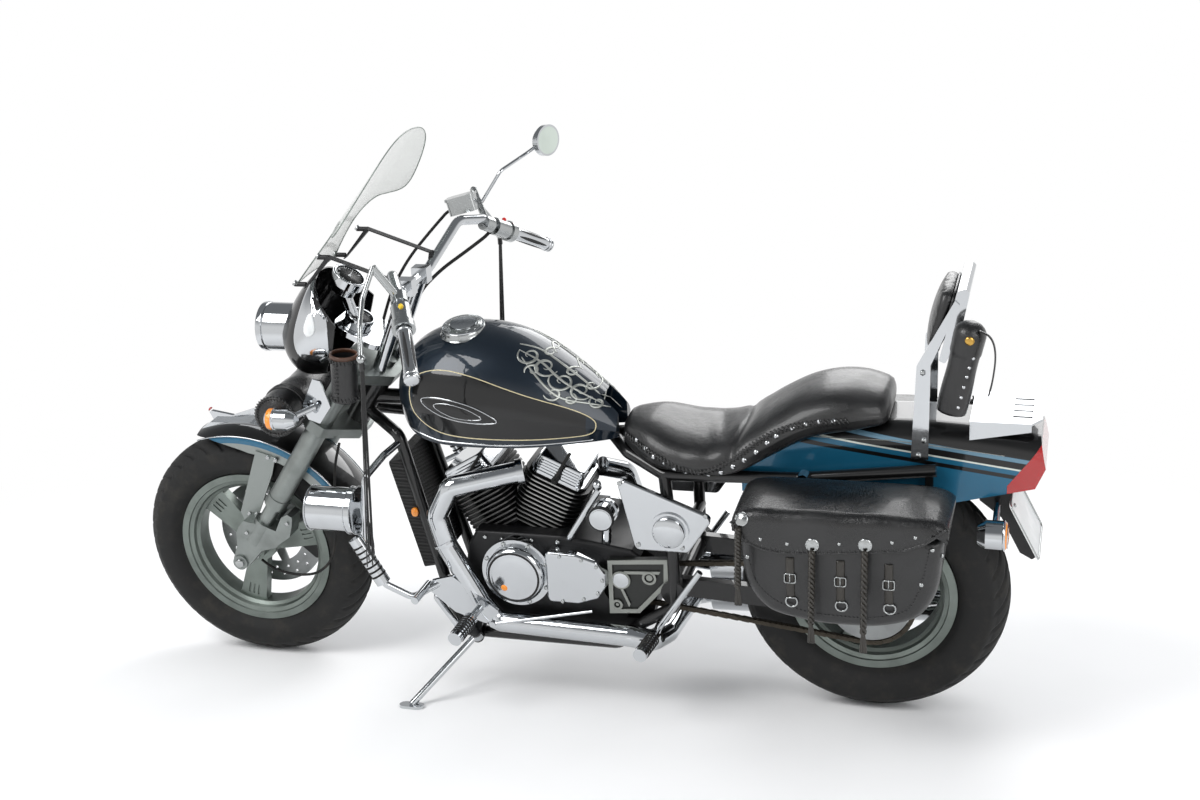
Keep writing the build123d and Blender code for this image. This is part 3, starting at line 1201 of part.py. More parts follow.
with BuildPart() as backrest_pad:
    pad_low, pad_high = Vector(*rear(137, 0, 951)), Vector(*rear(178, 0, 1114))
    pad_up = (pad_high - pad_low).normalized()
    facing_back = Vector(pad_up.Z, 0, -pad_up.X)
    place = Plane(origin=(pad_low + pad_high) * 0.5 - facing_back * 19, x_dir=(0, 1, 0), z_dir=facing_back)
    with BuildSketch(place) as section:
        RectangleRounded(2 * BACKREST_HALF, (pad_high - pad_low).length, 40)
    extrude(section.sketch, amount=38)
    clear_of(sissy_bar)
keep(backrest_pad, "backrest_pad")

# a slotted flat rack with side lips that stand on the fender
RACK_HALF = 95.0
RACK_Z = 806.0
with BuildPart() as luggage_rack:
    with BuildSketch(Plane.XY.offset(RACK_Z - 6)) as deck:
        corners = [rear(226, -RACK_HALF), rear(360, -RACK_HALF), rear(384, -60), rear(384, 60), rear(360, RACK_HALF),
                   rear(226, RACK_HALF)]
        Polygon(*corners, align=None)
        with Locations(*[rear(340, y) for y in (-54, -18, 18, 54)]):
            SlotOverall(46, 9, mode=Mode.SUBTRACT)
    extrude(deck.sketch, amount=6)
    for hand in BOTH:
        lip = ((226, RACK_Z), (362, RACK_Z), (362, RACK_Z - 20), (226, RACK_Z - 46))
        plate([rear(x, z) for x, z in lip], *across(hand, RACK_HALF - 6, RACK_HALF))
    clear_of(outer_form)
keep(luggage_rack, "luggage_rack")

HOLDER_R = 36.0
HOLDER_Y = -(FENDER_OUT + GAP + BAR_T + GAP + HOLDER_R)
with BuildPart() as bottle_holder:
    rod(rear(189, HOLDER_Y, 852), rear(219, HOLDER_Y, 998), HOLDER_R)
    rod(rear(219, HOLDER_Y, 998), rear(232, HOLDER_Y, 1062), HOLDER_R + 1)
    fillet(bottle_holder.faces().sort_by(Axis.Z)[-1].edges(), 20)
keep(bottle_holder, "bottle_holder")

# black guard under the light, and the plate that leans against it
PLATE_HALF = 95.0
PLATE_TOP = (318, 600)
PLATE_LOW = (386, 464)
PLATE_T = 2.0
with BuildPart() as plate_holder:
    rounded_plate(
        [rear(x, z) for x, z in ((240, 660), (330, 690), (326, 640), PLATE_TOP, PLATE_LOW, (372, 452), (344, 468),
                                 (300, 556), (250, 596))],
        4, -62, 62,
    )
    clear_of(rear_fender, tail_light)
keep(plate_holder, "plate_holder")

with BuildPart() as number_plate:
    top, low = Vector(*rear(PLATE_TOP[0], 0, PLATE_TOP[1])), Vector(*rear(PLATE_LOW[0], 0, PLATE_LOW[1]))
    down = (low - top).normalized()
    outwards = Vector(-down.Z, 0, down.X)
    face = Plane(origin=(top + low) * 0.5 + outwards * GAP, x_dir=(0, 1, 0), z_dir=outwards)
    with BuildSketch(face) as section:
        RectangleRounded(2 * PLATE_HALF, (low - top).length, 8)
    extrude(section.sketch, amount=PLATE_T)
keep(number_plate, "number_plate")

INDICATOR_R = 34.0
INDICATOR_Y = 175.0
with BuildPart() as rear_indicators:
    for hand in BOTH:
        y = hand * INDICATOR_Y
        rod(rear(272, y, 565), rear(312, y, 565), INDICATOR_R)
        with BuildSketch(Plane(origin=rear(272, y, 565), z_dir=(-1, 0, 0))) as section:
            Circle(INDICATOR_R)
        extrude(section.sketch, amount=18, taper=32)
        rod(rear(312, y, 565), rear(322, y, 565), INDICATOR_R - 6)
        rod(rear(292, hand * 62, 600), rear(292, y, 572), 8)
    clear_of(plate_holder)
keep(rear_indicators, "rear_indicators")

# saddlebags: rounded leather boxes, hinged lids with a flap down the outer side
LID_HINGE_Z = LID_TOP_Z - LID_PIN_R - 4
LID_HINGE_Y = BAG_INNER_Y + 2


def bag_outline(inset):
    """The bag seen from the side; the same outline smaller by an inset, but open at its top."""
    low = BAG_LOW_Z + inset
    front_x, rear_x = BAG_FRONT_X + inset, BAG_REAR_X - inset
    return [
        (front_x, BAG_TOP_Z), (front_x, 560), (front_x + 22, 470), (front_x + 92, low), (rear_x - 88, low),
        (rear_x - 12, 478), (rear_x, 600), (rear_x, BAG_TOP_Z),
    ]


for hand, name in ((-1, "left"), (1, "right")):
    low, high = across(hand, BAG_INNER_Y, BAG_OUTER_Y)
    hinge_y = hand * LID_HINGE_Y
    pin_ends = (BAG_FRONT_X + 60, BAG_REAR_X - 60)
    with BuildPart() as saddlebag:
        plate(bag_outline(0), low, high)
        rounding = [
            edge for edge in saddlebag.edges() if abs(abs(edge.center().Y) - BAG_OUTER_Y) < 1
            and edge.center().Z < BAG_TOP_Z - 5
        ]
        fillet(rounding, 22)
        plate(bag_outline(BAG_WALL), low + BAG_WALL, high - BAG_WALL, mode=Mode.SUBTRACT)
        for x in pin_ends:
            block((x - 6, hinge_y - 5, BAG_TOP_Z - 40), (x + 6, hinge_y + 5, LID_HINGE_Z + 5))
        rod((pin_ends[0], hinge_y, LID_HINGE_Z), (pin_ends[1], hinge_y, LID_HINGE_Z), LID_PIN_R)
        clear_of(frame)
    keep(saddlebag, name + "_saddlebag")
    with BuildPart() as lid:
        outer = BAG_OUTER_Y + LID_LAP
        inner = BAG_INNER_Y - 3
        front_x, rear_x = BAG_FRONT_X - LID_LAP, BAG_REAR_X + LID_LAP
        underside = BAG_TOP_Z + LID_RISE
        with BuildSketch(Plane(origin=(front_x, 0, 0), x_dir=(0, hand, 0), z_dir=(hand, 0, 0))) as section:
            with BuildLine():
                Polyline(
                    (outer - 30, LID_TOP_Z), (inner, LID_TOP_Z - 3), (inner, underside),
                    (outer - LID_T, underside), (outer - LID_T, LID_FLAP_Z), (outer, LID_FLAP_Z),
                    (outer, LID_TOP_Z - 30),
                )
                ThreePointArc((outer, LID_TOP_Z - 30), (outer - 9, LID_TOP_Z - 9), (outer - 30, LID_TOP_Z))
            make_face()
        extrude(section.sketch, amount=hand * (rear_x - front_x))
        flap = [
            (front_x, LID_TOP_Z - 22), (front_x + 40, LID_TOP_Z + 1), (rear_x - 40, LID_TOP_Z + 1),
            (rear_x, LID_TOP_Z - 22), (rear_x, BAG_TOP_Z), (rear_x - 24, LID_FLAP_Z + 30),
            (rear_x - 110, LID_FLAP_Z), (front_x + 70, LID_FLAP_Z), (front_x + 12, LID_FLAP_Z + 40),
            (front_x, BAG_TOP_Z),
        ]
        with BuildSketch(Plane.XZ.offset(-outer - 5)) as section:
            Polygon(*flap, align=None)
            fillet(section.vertices(), 10)
        extrude(section.sketch, amount=2 * outer + 10, mode=Mode.INTERSECT)
        for x in pin_ends:
            block((x - 7, hinge_y - 12, BAG_TOP_Z - 5), (x + 7, hinge_y + 12, LID_TOP_Z + 5), Mode.SUBTRACT)
        rod((pin_ends[0], hinge_y, LID_HINGE_Z), (pin_ends[1], hinge_y, LID_HINGE_Z), LID_PIN_R + RUNNING, mode=Mode.SUBTRACT)
    keep(lid, name + "_bag_lid")

# ---------------------------------------------------------------------------------------------
# Foot controls, guard, stand
# ---------------------------------------------------------------------------------------------
with BuildPart() as foot_controls:
    for hand in BOTH:
        flank = hand * (RAIL_Y + RAIL_R)
        # forward bracket from the frame, peg, pedal and its rods
        rod(middle(-150, hand * RAIL_Y, 200), middle(-120, hand * 190, 240), 11)
        rounded_plate(
            [middle(x, z) for x, z in ((-227, 329), (-205, 346), (-150, 362), (-30, 270), (-70, 236), (-150, 262))],
            8, *across(hand, 184, 194),
        )
        rod(middle(-84, hand * 190, 278), middle(-94, hand * 250, 272), 10)
        rod(middle(-92, hand * 240, 273), middle(-101, hand * 334, 266), 18)
        rod(middle(-215, hand * 190, 335), middle(-222, hand * 275, 330), 10)
        rod(middle(-50, hand * 200, 240), middle(205, hand * 176, 285), 4)
        rod(middle(-50, hand * 186, 240), middle(-50, hand * 206, 240), 8)
        # brace from the down tube to the lower rail
        tube([middle(-192, hand * 104, 262), middle(-226, hand * 150, 290), middle(-165, hand * 150, 196),
              middle(-150, hand * RAIL_Y, 165)], 9, 12)
        # passenger's peg on its bright arm
        rod(middle(368, hand * PIVOT_RAIL_Y, 247), middle(368, hand * 214, 247), 10)
        rod(middle(368, hand * 206, 247), middle(356, hand * 304, 248), 17)
        rod(middle(368, hand * 172, 247), middle(480, hand * 172, 413), 8)
        rod(middle(400, hand * PIVOT_RAIL_Y, 294), middle(400, hand * 176, 294), 9)
    clear_of(frame, crankcase, sprocket_cover, exhaust_pipes, mufflers)
keep(foot_controls, "foot_controls")

# bright arms that carry the highway pegs; left half from the down tube outwards and up
GUARD_ARM = (
    (-205, 104, 300), (-168, 168, 344), (-243, 235, 317), (-303, 252, 357), (-343, 268, 433), (-346, 256, 500),
    (-334, 236, 640), (-312, 160, 668), (-300, 84, 672),
)
GUARD_R = 9.0
with BuildPart() as engine_guard:
    for hand in BOTH:
        tube([middle(x, hand * y, z) for x, y, z in GUARD_ARM], GUARD_R, 26)
        rod(middle(-336, hand * 262, 462), middle(-308, hand * 322, 462), 8)
        rod(middle(-334, hand * 330, 522), middle(-272, hand * 330, 407), 18)
    clear_of(frame, radiator, foot_controls)
keep(engine_guard, "engine_guard")

CAN_R = 55.0
with BuildPart() as horns:
    can_back = middle(-343, 0, 0)[0] - GUARD_R - GAP
    rod((can_back - 130, -250, 557), (can_back - 18, -250, 557), CAN_R)
    fillet(horns.edges().filter_by(GeomType.CIRCLE).sort_by(Axis.X)[0], 12)
    rod((can_back - 20, -250, 557), (can_back - 4, -250, 557), CAN_R + 3)
    block((can_back - 6, -262, 505), (can_back + 8, -238, 585))
    clear_of(engine_guard)
keep(horns, "horns")

# side stand: a leg with a boss that turns on the frame's pin
with BuildPart() as side_stand:
    with BuildSketch(foot_plane) as section:
        SlotOverall(64, 34)
    extrude(section.sketch, amount=FOOT_T)
    rod(STAND_PIVOT, tuple(leg_end), STAND_R)
    boss_low = Vector(*STAND_PIVOT) - STAND_AXIS * STAND_BOSS_HALF
    boss_high = Vector(*STAND_PIVOT) + STAND_AXIS * STAND_BOSS_HALF
    rod(tuple(boss_low), tuple(boss_high), STAND_BOSS_R)
    rod(tuple(boss_low), tuple(boss_high), STAND_PIN_R + RUNNING, mode=Mode.SUBTRACT)
keep(side_stand, "side_stand")

# ---------------------------------------------------------------------------------------------
# Lean the machine onto its stand and write the pieces
# ---------------------------------------------------------------------------------------------
leaned = [(piece.part.label, piece.part.moved(PARKED)) for piece in pieces]
box = Compound([part for label, part in leaned]).bounding_box()
CENTRE = Location((-(box.min.X + box.max.X) / 2, -(box.min.Y + box.max.Y) / 2, 0))

os.makedirs("parts", exist_ok=True)
for label, part in leaned:
    centred = part.moved(CENTRE)
    centred.label = label
    export_step(centred, f"parts/{label}.step")

print("centre", CENTRE.position)
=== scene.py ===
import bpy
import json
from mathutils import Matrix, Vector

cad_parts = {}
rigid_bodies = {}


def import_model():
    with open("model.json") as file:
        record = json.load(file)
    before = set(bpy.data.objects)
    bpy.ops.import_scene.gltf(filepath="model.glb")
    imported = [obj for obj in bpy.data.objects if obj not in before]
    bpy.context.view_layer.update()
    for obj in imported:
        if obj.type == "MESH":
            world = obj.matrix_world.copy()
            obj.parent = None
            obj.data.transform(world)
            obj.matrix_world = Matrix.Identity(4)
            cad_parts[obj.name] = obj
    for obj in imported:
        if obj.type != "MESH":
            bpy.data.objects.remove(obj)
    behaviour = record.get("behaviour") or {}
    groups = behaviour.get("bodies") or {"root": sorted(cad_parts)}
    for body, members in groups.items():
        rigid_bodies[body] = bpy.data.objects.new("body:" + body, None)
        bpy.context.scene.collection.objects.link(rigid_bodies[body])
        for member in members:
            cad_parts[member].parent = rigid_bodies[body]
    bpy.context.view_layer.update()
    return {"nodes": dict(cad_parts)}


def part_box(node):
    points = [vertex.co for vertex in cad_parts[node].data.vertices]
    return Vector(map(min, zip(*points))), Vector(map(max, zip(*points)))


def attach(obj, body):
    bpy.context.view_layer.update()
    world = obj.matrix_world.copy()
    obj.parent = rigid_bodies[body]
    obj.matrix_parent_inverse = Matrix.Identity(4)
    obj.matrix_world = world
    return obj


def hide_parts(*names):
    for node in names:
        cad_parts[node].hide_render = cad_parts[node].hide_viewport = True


bl_info = {
    "name": "Cruiser motorcycle",
    "version": (1, 0, 0),
    "blender": (4, 5, 0),
    "location": "View3D > Sidebar > Cruiser",
    "description": "Leather, tyres, trims and finishes of a cruiser motorcycle around its packed solids",
    "category": "Object",
}

import json
import math

import bmesh
import bpy
import numpy as np
from mathutils import Matrix, Vector
from mathutils.bvhtree import BVHTree

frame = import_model()

# ---------------------------------------------------------------------------------------------
# The machine's own frame: upright, millimetres, x from the front axle, y to the right, z up
# ---------------------------------------------------------------------------------------------
LEAN = math.radians(10.0)
CROWN = 64.0
FRONT_AXLE_Z, REAR_AXLE_Z = 320.0, 325.0
tyre_low, tyre_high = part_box("front_tyre")
SHIFT_X = 500 * (tyre_low.x + tyre_high.x)
SHIFT_Y = 500 * (tyre_low.y + tyre_high.y) + (FRONT_AXLE_Z - CROWN) * math.sin(LEAN)
WHEELBASE = 1645.0
CRANK_X = 770.0


def row(points):
    """Upright millimetres to the parked frame in metres: turned by the lean about the tyres' crown, then shifted."""
    p = np.asarray(points, float)
    up, side = p[..., 2] - CROWN, p[..., 1]
    y = side * math.cos(LEAN) - up * math.sin(LEAN) + SHIFT_Y
    z = side * math.sin(LEAN) + up * math.cos(LEAN) + CROWN
    return np.stack([p[..., 0] + SHIFT_X, y, z], -1) / 1000


def upright(points):
    """The other way: metres in the parked frame to upright millimetres."""
    p = np.asarray(points, float) * 1000
    y, z = p[..., 1] - SHIFT_Y, p[..., 2] - CROWN
    side = y * math.cos(LEAN) + z * math.sin(LEAN)
    return np.stack([p[..., 0] - SHIFT_X, side, CROWN - y * math.sin(LEAN) + z * math.cos(LEAN)], -1)


# ---------------------------------------------------------------------------------------------
# Surfaces as whole arrays
# ---------------------------------------------------------------------------------------------
def grid_faces(rows, columns, wrap_rows=False, wrap_columns=False):
    """Quads between neighbours of a grid of points, joined round where it wraps."""
    index = np.arange(rows * columns).reshape(rows, columns)
    if wrap_rows:
        index = np.vstack([index, index[:1]])
    if wrap_columns:
        index = np.hstack([index, index[:, :1]])
    return np.stack([index[:-1, :-1], index[1:, :-1], index[1:, 1:], index[:-1, 1:]], -1).reshape(-1, 4)


def unit(vectors):
    """Each vector over its own length."""
    v = np.asarray(vectors, float)
    return v / np.maximum(np.linalg.norm(v, axis=-1, keepdims=True), 1e-9)


def square_to(axis):
    """Two unit vectors square to each axis and to each other, by crossing it with the least aligned main axis."""
    a = unit(axis)
    first = unit(np.cross(a, np.eye(3)[np.argmin(np.abs(a), axis=-1)]))
    return first, np.cross(a, first)


def circle(count):
    """Points of a unit circle at equal angles."""
    turn = np.linspace(0, 2 * np.pi, count, endpoint=False)
    return np.stack([np.cos(turn), np.sin(turn)], -1)


def around(axis, turn):
    """The unit vector square to an axis at an angle round it, or one for each angle."""
    first, second = square_to(np.asarray(axis, float))
    turn = np.asarray(turn, float)[..., None]
    return np.cos(turn) * first + np.sin(turn) * second


def ring_at(centre, radius, count, side):
    """A circle square to the machine's width: x by the cosine, z by the sine, y given."""
    turned = centre + radius * circle(count)
    return np.stack([turned[:, 0], np.full(count, side), turned[:, 1]], -1)


def soften(points, closed=False, rounds=3):
    """Corner cutting: each run gives its quarter and three-quarter points, which rounds every corner."""
    p = np.asarray(points, float)
    for _ in range(rounds):
        after = np.roll(p, -1, 0) if closed else p[1:]
        before = p if closed else p[:-1]
        cut = np.stack([0.75 * before + 0.25 * after, 0.25 * before + 0.75 * after], 1)
        cut = cut.reshape(-1, p.shape[1])
        p = cut if closed else np.vstack([p[:1], cut, p[-1:]])
    return p


def even(points, count, closed=False):
    """Points at equal steps of length along a polyline."""
    p = np.asarray(points, float)
    if closed:
        p = np.vstack([p, p[:1]])
    run = np.concatenate([[0], np.cumsum(np.linalg.norm(np.diff(p, axis=0), axis=1))])
    steps = np.linspace(0, run[-1], count + 1)[:-1] if closed else np.linspace(0, run[-1], count)
    return np.stack([np.interp(steps, run, p[:, k]) for k in range(p.shape[1])], -1)


def span(points):
    """The length of a polyline."""
    return float(np.linalg.norm(np.diff(points, axis=0), axis=1).sum())


def smooth_step(low, high, value):
    """0 below low, 1 above high, and 3t^2 - 2t^3 between."""
    t = np.clip((value - low) / (high - low), 0, 1)
    return t * t * (3 - 2 * t)


class Heap:
    """Gathers surfaces, in upright millimetres, into one mesh."""

    def __init__(self):
        self.points, self.faces, self.count = [], [], 0

    def add(self, points, faces):
        flat = np.asarray(points, float).reshape(-1, 3)
        self.faces.append(np.asarray(faces) + self.count)
        self.points.append(flat)
        self.count += len(flat)
        return self

    def surface(self, grid, wrap_rows=False, wrap_columns=False):
        """A grid of points and the quads between them."""
        return self.add(grid, grid_faces(grid.shape[0], grid.shape[1], wrap_rows, wrap_columns))

    def tube(self, path, radius, sides=10, closed=False, flat=1.0, facing=None):
        """Circles of the radius round each point of a path, square to its direction, squeezed by flat
        along the facing direction where one is given."""
        p = np.asarray(path, float)
        tangent = np.roll(p, -1, 0) - np.roll(p, 1, 0) if closed else np.gradient(p, axis=0)
        tangent = unit(tangent)
        helper = np.eye(3)[np.argmin(np.abs(tangent).max(axis=0))] if facing is None else np.asarray(facing, float)
        across = unit(np.cross(tangent, helper))
        over = np.cross(tangent, across)
        size = np.broadcast_to(np.asarray(radius, float), (len(p),))
        if not closed:
            p = np.vstack([p[:1], p, p[-1:]])
            across, over = (np.vstack([v[:1], v, v[-1:]]) for v in (across, over))
            size = np.concatenate([[0], size, [0]])
        turn = circle(sides)[None]
        ring = turn[..., :1] * across[:, None] + flat * turn[..., 1:] * over[:, None]
        return self.surface(p[:, None] + size[:, None, None] * ring, closed, True)

    def turned(self, profile, origin, axis, count=32):
        """Each (radius, height) pair of a profile swept round an axis through the origin."""
        ring = around(axis, np.linspace(0, 2 * np.pi, count, endpoint=False))
        pairs = np.asarray(profile, float)
        grid = pairs[:, 0, None, None] * ring[None] + pairs[:, 1, None, None] * unit(axis)
        return self.surface(grid + np.asarray(origin, float), False, True)

    def repeat(self, points, faces, origins, axes, along=None):
        """A small shape set down at each origin with its z on that axis, and its x on along if given."""
        origins, axes = np.atleast_2d(origins).astype(float), unit(np.atleast_2d(axes))
        axes = np.broadcast_to(axes, origins.shape)
        if along is None:
            first, second = square_to(axes)
        else:
            along = np.broadcast_to(np.atleast_2d(along), origins.shape)
            second = unit(np.cross(axes, along))
            first = np.cross(second, axes)
        shape = np.asarray(points, float)
        placed = (
            origins[:, None] + shape[None, :, :1] * first[:, None]
            + shape[None, :, 1:2] * second[:, None] + shape[None, :, 2:] * axes[:, None]
        )
        every = np.asarray(faces)[None] + (np.arange(len(origins)) * len(shape))[:, None, None]
        return self.add(placed, every.reshape(-1, 4))

    def pillow(self, outline, low, high, edge, crown_low=0.0, crown_high=0.0, place=None):
        """A closed soft slab: an outline in the plane, rounded edges, and faces that swell towards the middle.

        The outline shrinks about its centre by the edge radius times 1 - cos, while the height follows
        the sine; each face then runs in to its centre, rising by its crown times 1 - s^2."""
        shape = np.asarray(outline, float)
        centre = shape.mean(0)
        reach = np.linalg.norm(shape - centre, axis=1).mean()
        arc = np.linspace(-np.pi / 2, 0, 6)
        inset = edge * (1 - np.cos(arc))
        lower = low + edge * (1 + np.sin(arc))
        upper = high - edge * (1 + np.sin(arc[::-1]))
        full = 1 - edge / reach
        shares = np.array([0.0, 0.3, 0.55, 0.75, 0.88, 0.95])
        scales = np.concatenate([
            shares * full, 1 - inset / reach, 1 - inset[::-1] / reach, (shares * full)[::-1],
        ])
        heights = np.concatenate([
            low - crown_low * (1 - shares ** 2), lower, upper, (high + crown_high * (1 - shares ** 2))[::-1],
        ])
        flat = centre + scales[:, None, None] * (shape - centre)[None]
        grid = np.concatenate([flat, np.broadcast_to(heights[:, None, None], flat.shape[:2] + (1,))], -1)
        return self.surface(grid if place is None else place(grid), False, True)


def side_view(grid):
    """An outline given as x, z with its height across the machine."""
    return np.stack([grid[..., 0], grid[..., 2], grid[..., 1]], -1)


def dome(radius, height, sides=10, rings=3):
    """A low dome as a small shape: rings of a radius that falls as a cosine while the height rises as a sine."""
    rise = np.linspace(0, np.pi / 2, rings + 1)[:-1]
    ring = np.column_stack([circle(sides), np.zeros(sides)])
    layers = [ring * [radius * np.cos(a), radius * np.cos(a), 0] + [0, 0, height * np.sin(a)] for a in rise]
    layers.append(np.tile([[0, 0, height]], (sides, 1)))
    return np.vstack(layers), grid_faces(rings + 1, sides, False, True)


def hexagon(radius, height):
    """A bolt head: a six-sided prism with a sunk rim above."""
    ring = np.column_stack([circle(6), np.zeros(6)])
    layers = [ring * radius, ring * radius + [0, 0, height * 0.8], ring * radius * 0.86 + [0, 0, height]]
    layers.append(np.tile([[0, 0, height * 0.86]], (6, 1)))
    return np.vstack(layers), grid_faces(4, 6, False, True)


def build(name, heap, body, finish, smooth=True, wall=0.0):
    """Make a heap an object that rides on a body, with a finish and a wall where it is a sheet."""
    mesh = bpy.data.meshes.new(name)
    mesh.from_pydata(row(np.vstack(heap.points)).tolist(), [], np.vstack(heap.faces).tolist())
    mesh.update()
    joined = bmesh.new()
    joined.from_mesh(mesh)
    bmesh.ops.remove_doubles(joined, verts=joined.verts, dist=2e-6)
    bmesh.ops.dissolve_degenerate(joined, edges=joined.edges, dist=1e-7)
    bmesh.ops.recalc_face_normals(joined, faces=joined.faces)
    joined.to_mesh(mesh)
    joined.free()
    mesh.polygons.foreach_set("use_smooth", np.full(len(mesh.polygons), smooth))
    mesh.materials.append(finishes()[finish])
    piece = bpy.data.objects.new(name, mesh)
    if wall:
        thickness = piece.modifiers.new("wall", "SOLIDIFY")
        thickness.thickness, thickness.offset = wall / 1000, 0.0
    return mount(piece, body)


def mount(piece, body):
    """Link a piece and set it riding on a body."""
    bpy.context.scene.collection.objects.link(piece)
    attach(piece, body)
    return piece


def spline(name, points):
    """A curve of one smooth spline whose control points are given in metres."""
    curve = bpy.data.curves.new(name, "CURVE")
    curve.dimensions = "3D"
    line = curve.splines.new("NURBS")
    line.points.add(len(points) - 1)
    line.points.foreach_set("co", np.column_stack([points, np.ones(len(points))]).ravel())
    line.order_u, line.use_endpoint_u = 3, True
    return curve


def route(points, steps):
    """Points of a cord's line, read from its spline: so many to each run, rounded to a micrometre."""
    curve = spline("route", row(points))
    curve.resolution_u = steps
    holder = bpy.data.objects.new("route", curve)
    mesh = bpy.data.meshes.new_from_object(holder)
    found = np.zeros(len(mesh.vertices) * 3)
    mesh.vertices.foreach_get("co", found)
    for kind, data in ((bpy.data.objects, holder), (bpy.data.curves, curve), (bpy.data.meshes, mesh)):
        kind.remove(data)
    return np.round(upright(found.reshape(-1, 3)), 3)


def skin(thing):
    """A search tree over an object's faces, in upright millimetres."""
    mesh = thing.data
    corners = np.zeros(len(mesh.vertices) * 3)
    mesh.vertices.foreach_get("co", corners)
    faces = [list(polygon.vertices) for polygon in mesh.polygons]
    return BVHTree.FromPolygons(upright(corners.reshape(-1, 3)).tolist(), faces)


def lay(tree, points, direction, lift=0.0):
    """Drop each point along a direction onto a skin; gives the places, lifted off it, and its normals."""
    way = Vector(direction).normalized()
    places, normals = [], []
    for point in np.asarray(points, float):
        hit, normal, _, _ = tree.ray_cast(Vector(point) - way * 600, way)
        if hit is None:
            hit, normal, _, _ = tree.find_nearest(Vector(point))
        if normal.dot(way) > 0:
            normal = -normal
        places.append(hit + normal * lift)
        normals.append(normal)
    return np.array(places), np.array(normals)


def lay_side(tree, outline, hand, lift=0.0, plane=500.0, fall=0.0):
    """Drop x, z points onto one side of the machine, along rays that fall by a share of their run."""
    flat = np.asarray(outline, float)
    spots = np.column_stack([flat[:, 0], np.full(len(flat), hand * plane), flat[:, 1]])
    return lay(tree, spots, (0, -hand, -fall), lift)


# ---------------------------------------------------------------------------------------------
# Finishes
# ---------------------------------------------------------------------------------------------
class Wire:
    """A value in a finish's nodes. Arithmetic on it adds Math nodes."""

    def __init__(self, finish, socket):
        self.finish, self.socket = finish, socket

    def _math(self, operation, *values):
        return self.finish.node("ShaderNodeMath", {"operation": operation}, *values)

    def __add__(self, other):
        return self._math("ADD", self, other)

    __radd__ = __add__

    def __sub__(self, other):
        return self._math("SUBTRACT", self, other)

    def __rsub__(self, other):
        return self._math("SUBTRACT", other, self)

    def __mul__(self, other):
        return self._math("MULTIPLY", self, other)

    __rmul__ = __mul__

    def __abs__(self):
        return self._math("ABSOLUTE", self)

    def root(self):
        return self._math("SQRT", self)

    def larger(self, other):
        return self._math("MAXIMUM", self, other)

    def ramp(self, low, high):
        """0 at low and 1 at high, held outside, smooth between."""
        return self.finish.node(
            "ShaderNodeMapRange", {"interpolation_type": "SMOOTHSTEP", "clamp": True},
            Value=self, **{"From Min": low, "From Max": high},
        )


class Graph:
    """A node tree: its nodes come from node()."""

    def __init__(self, tree):
        self.tree, self.place = tree, None

    def node(self, kind, settings=None, *values, output=0, **sockets):
        """Add a node: its settings first, then values or links by a socket's place or identifier.

        Gives the output of that place or identifier, or one for each where several are asked."""
        made = self.tree.nodes.new(kind)
        for key, value in (settings or {}).items():
            setattr(made, key, value)
        for index, value in enumerate(values):
            self.plug(made.inputs[index], value)
        by_name = {socket.identifier: socket for socket in made.inputs}
        for key, value in sockets.items():
            self.plug(by_name[key], value)
        if isinstance(output, tuple):
            return [Wire(self, made.outputs[key]) for key in output]
        by_name = {socket.identifier: socket for socket in made.outputs}
        return Wire(self, by_name[output] if isinstance(output, str) else made.outputs[output]) if by_name else None

    def plug(self, socket, value):
        """Link a wire to a socket, or set its value."""
        if isinstance(value, Wire):
            self.tree.links.new(value.socket, socket)
        else:
            socket.default_value = value

    def coords(self):
        """Object coordinates, in metres."""
        if self.place is None:
            self.place = self.node("ShaderNodeTexCoord", output="Object")
        return self.place

    def upright(self):
        """Upright x, y and z in millimetres, worked out from the object coordinates."""
        x, y, z = self.node("ShaderNodeSeparateXYZ", None, self.coords(), output=(0, 1, 2))
        side, up = y * 1000.0 - SHIFT_Y, z * 1000.0 - CROWN
        return (
            x * 1000.0 - SHIFT_X,
            side * math.cos(LEAN) + up * math.sin(LEAN),
            up * math.cos(LEAN) - side * math.sin(LEAN) + CROWN,
        )

    def noise(self, scale, detail=3.0, rough=0.5):
        """Cloudy noise, 0 to 1."""
        return self.node("ShaderNodeTexNoise", None, Vector=self.coords(), Scale=scale, Detail=detail, Roughness=rough)

    def cells(self, scale):
        """Distance to the nearest of scattered points."""
        return self.node("ShaderNodeTexVoronoi", {"feature": "F1"}, Vector=self.coords(), Scale=scale)

    def bands(self, scale, direction):
        """Waves along one direction, 0 to 1."""
        settings = {"wave_type": "BANDS", "bands_direction": direction}
        return self.node("ShaderNodeTexWave", settings, output="Fac", Vector=self.coords(), Scale=scale)

    def blend(self, share, first, second):
        """A colour between two colours."""
        return self.node(
            "ShaderNodeMix", {"data_type": "RGBA"}, output="Result_Color",
            Factor_Float=share, A_Color=first, B_Color=second,
        )

    def bump(self, height, distance, strength=1.0):
        """A surface normal from a height, whose full rise is a distance in millimetres."""
        return self.node("ShaderNodeBump", None, Height=height, Distance=distance / 1000, Strength=strength)


class Finish(Graph):
    """A procedural material, whose surface is set with set()."""

    def __init__(self, name):
        self.material = bpy.data.materials.new(name)
        self.material.use_nodes = True
        super().__init__(self.material.node_tree)
        self.surface = self.tree.nodes["Principled BSDF"]

    def set(self, **sockets):
        """Plug the shader's sockets; underscores stand for spaces."""
        for key, value in sockets.items():
            self.plug(self.surface.inputs[key.replace("_", " ")], value)

    def colour(self):
        """The colour that feeds the surface so far."""
        return Wire(self, self.surface.inputs["Base Color"].links[0].from_socket)


def shade(red, green, blue):
    """A colour written as it looks, 0 to 1, as linear light."""
    return tuple(((c + 0.055) / 1.055) ** 2.4 if c > 0.04 else c / 12.92 for c in (red, green, blue)) + (1.0,)


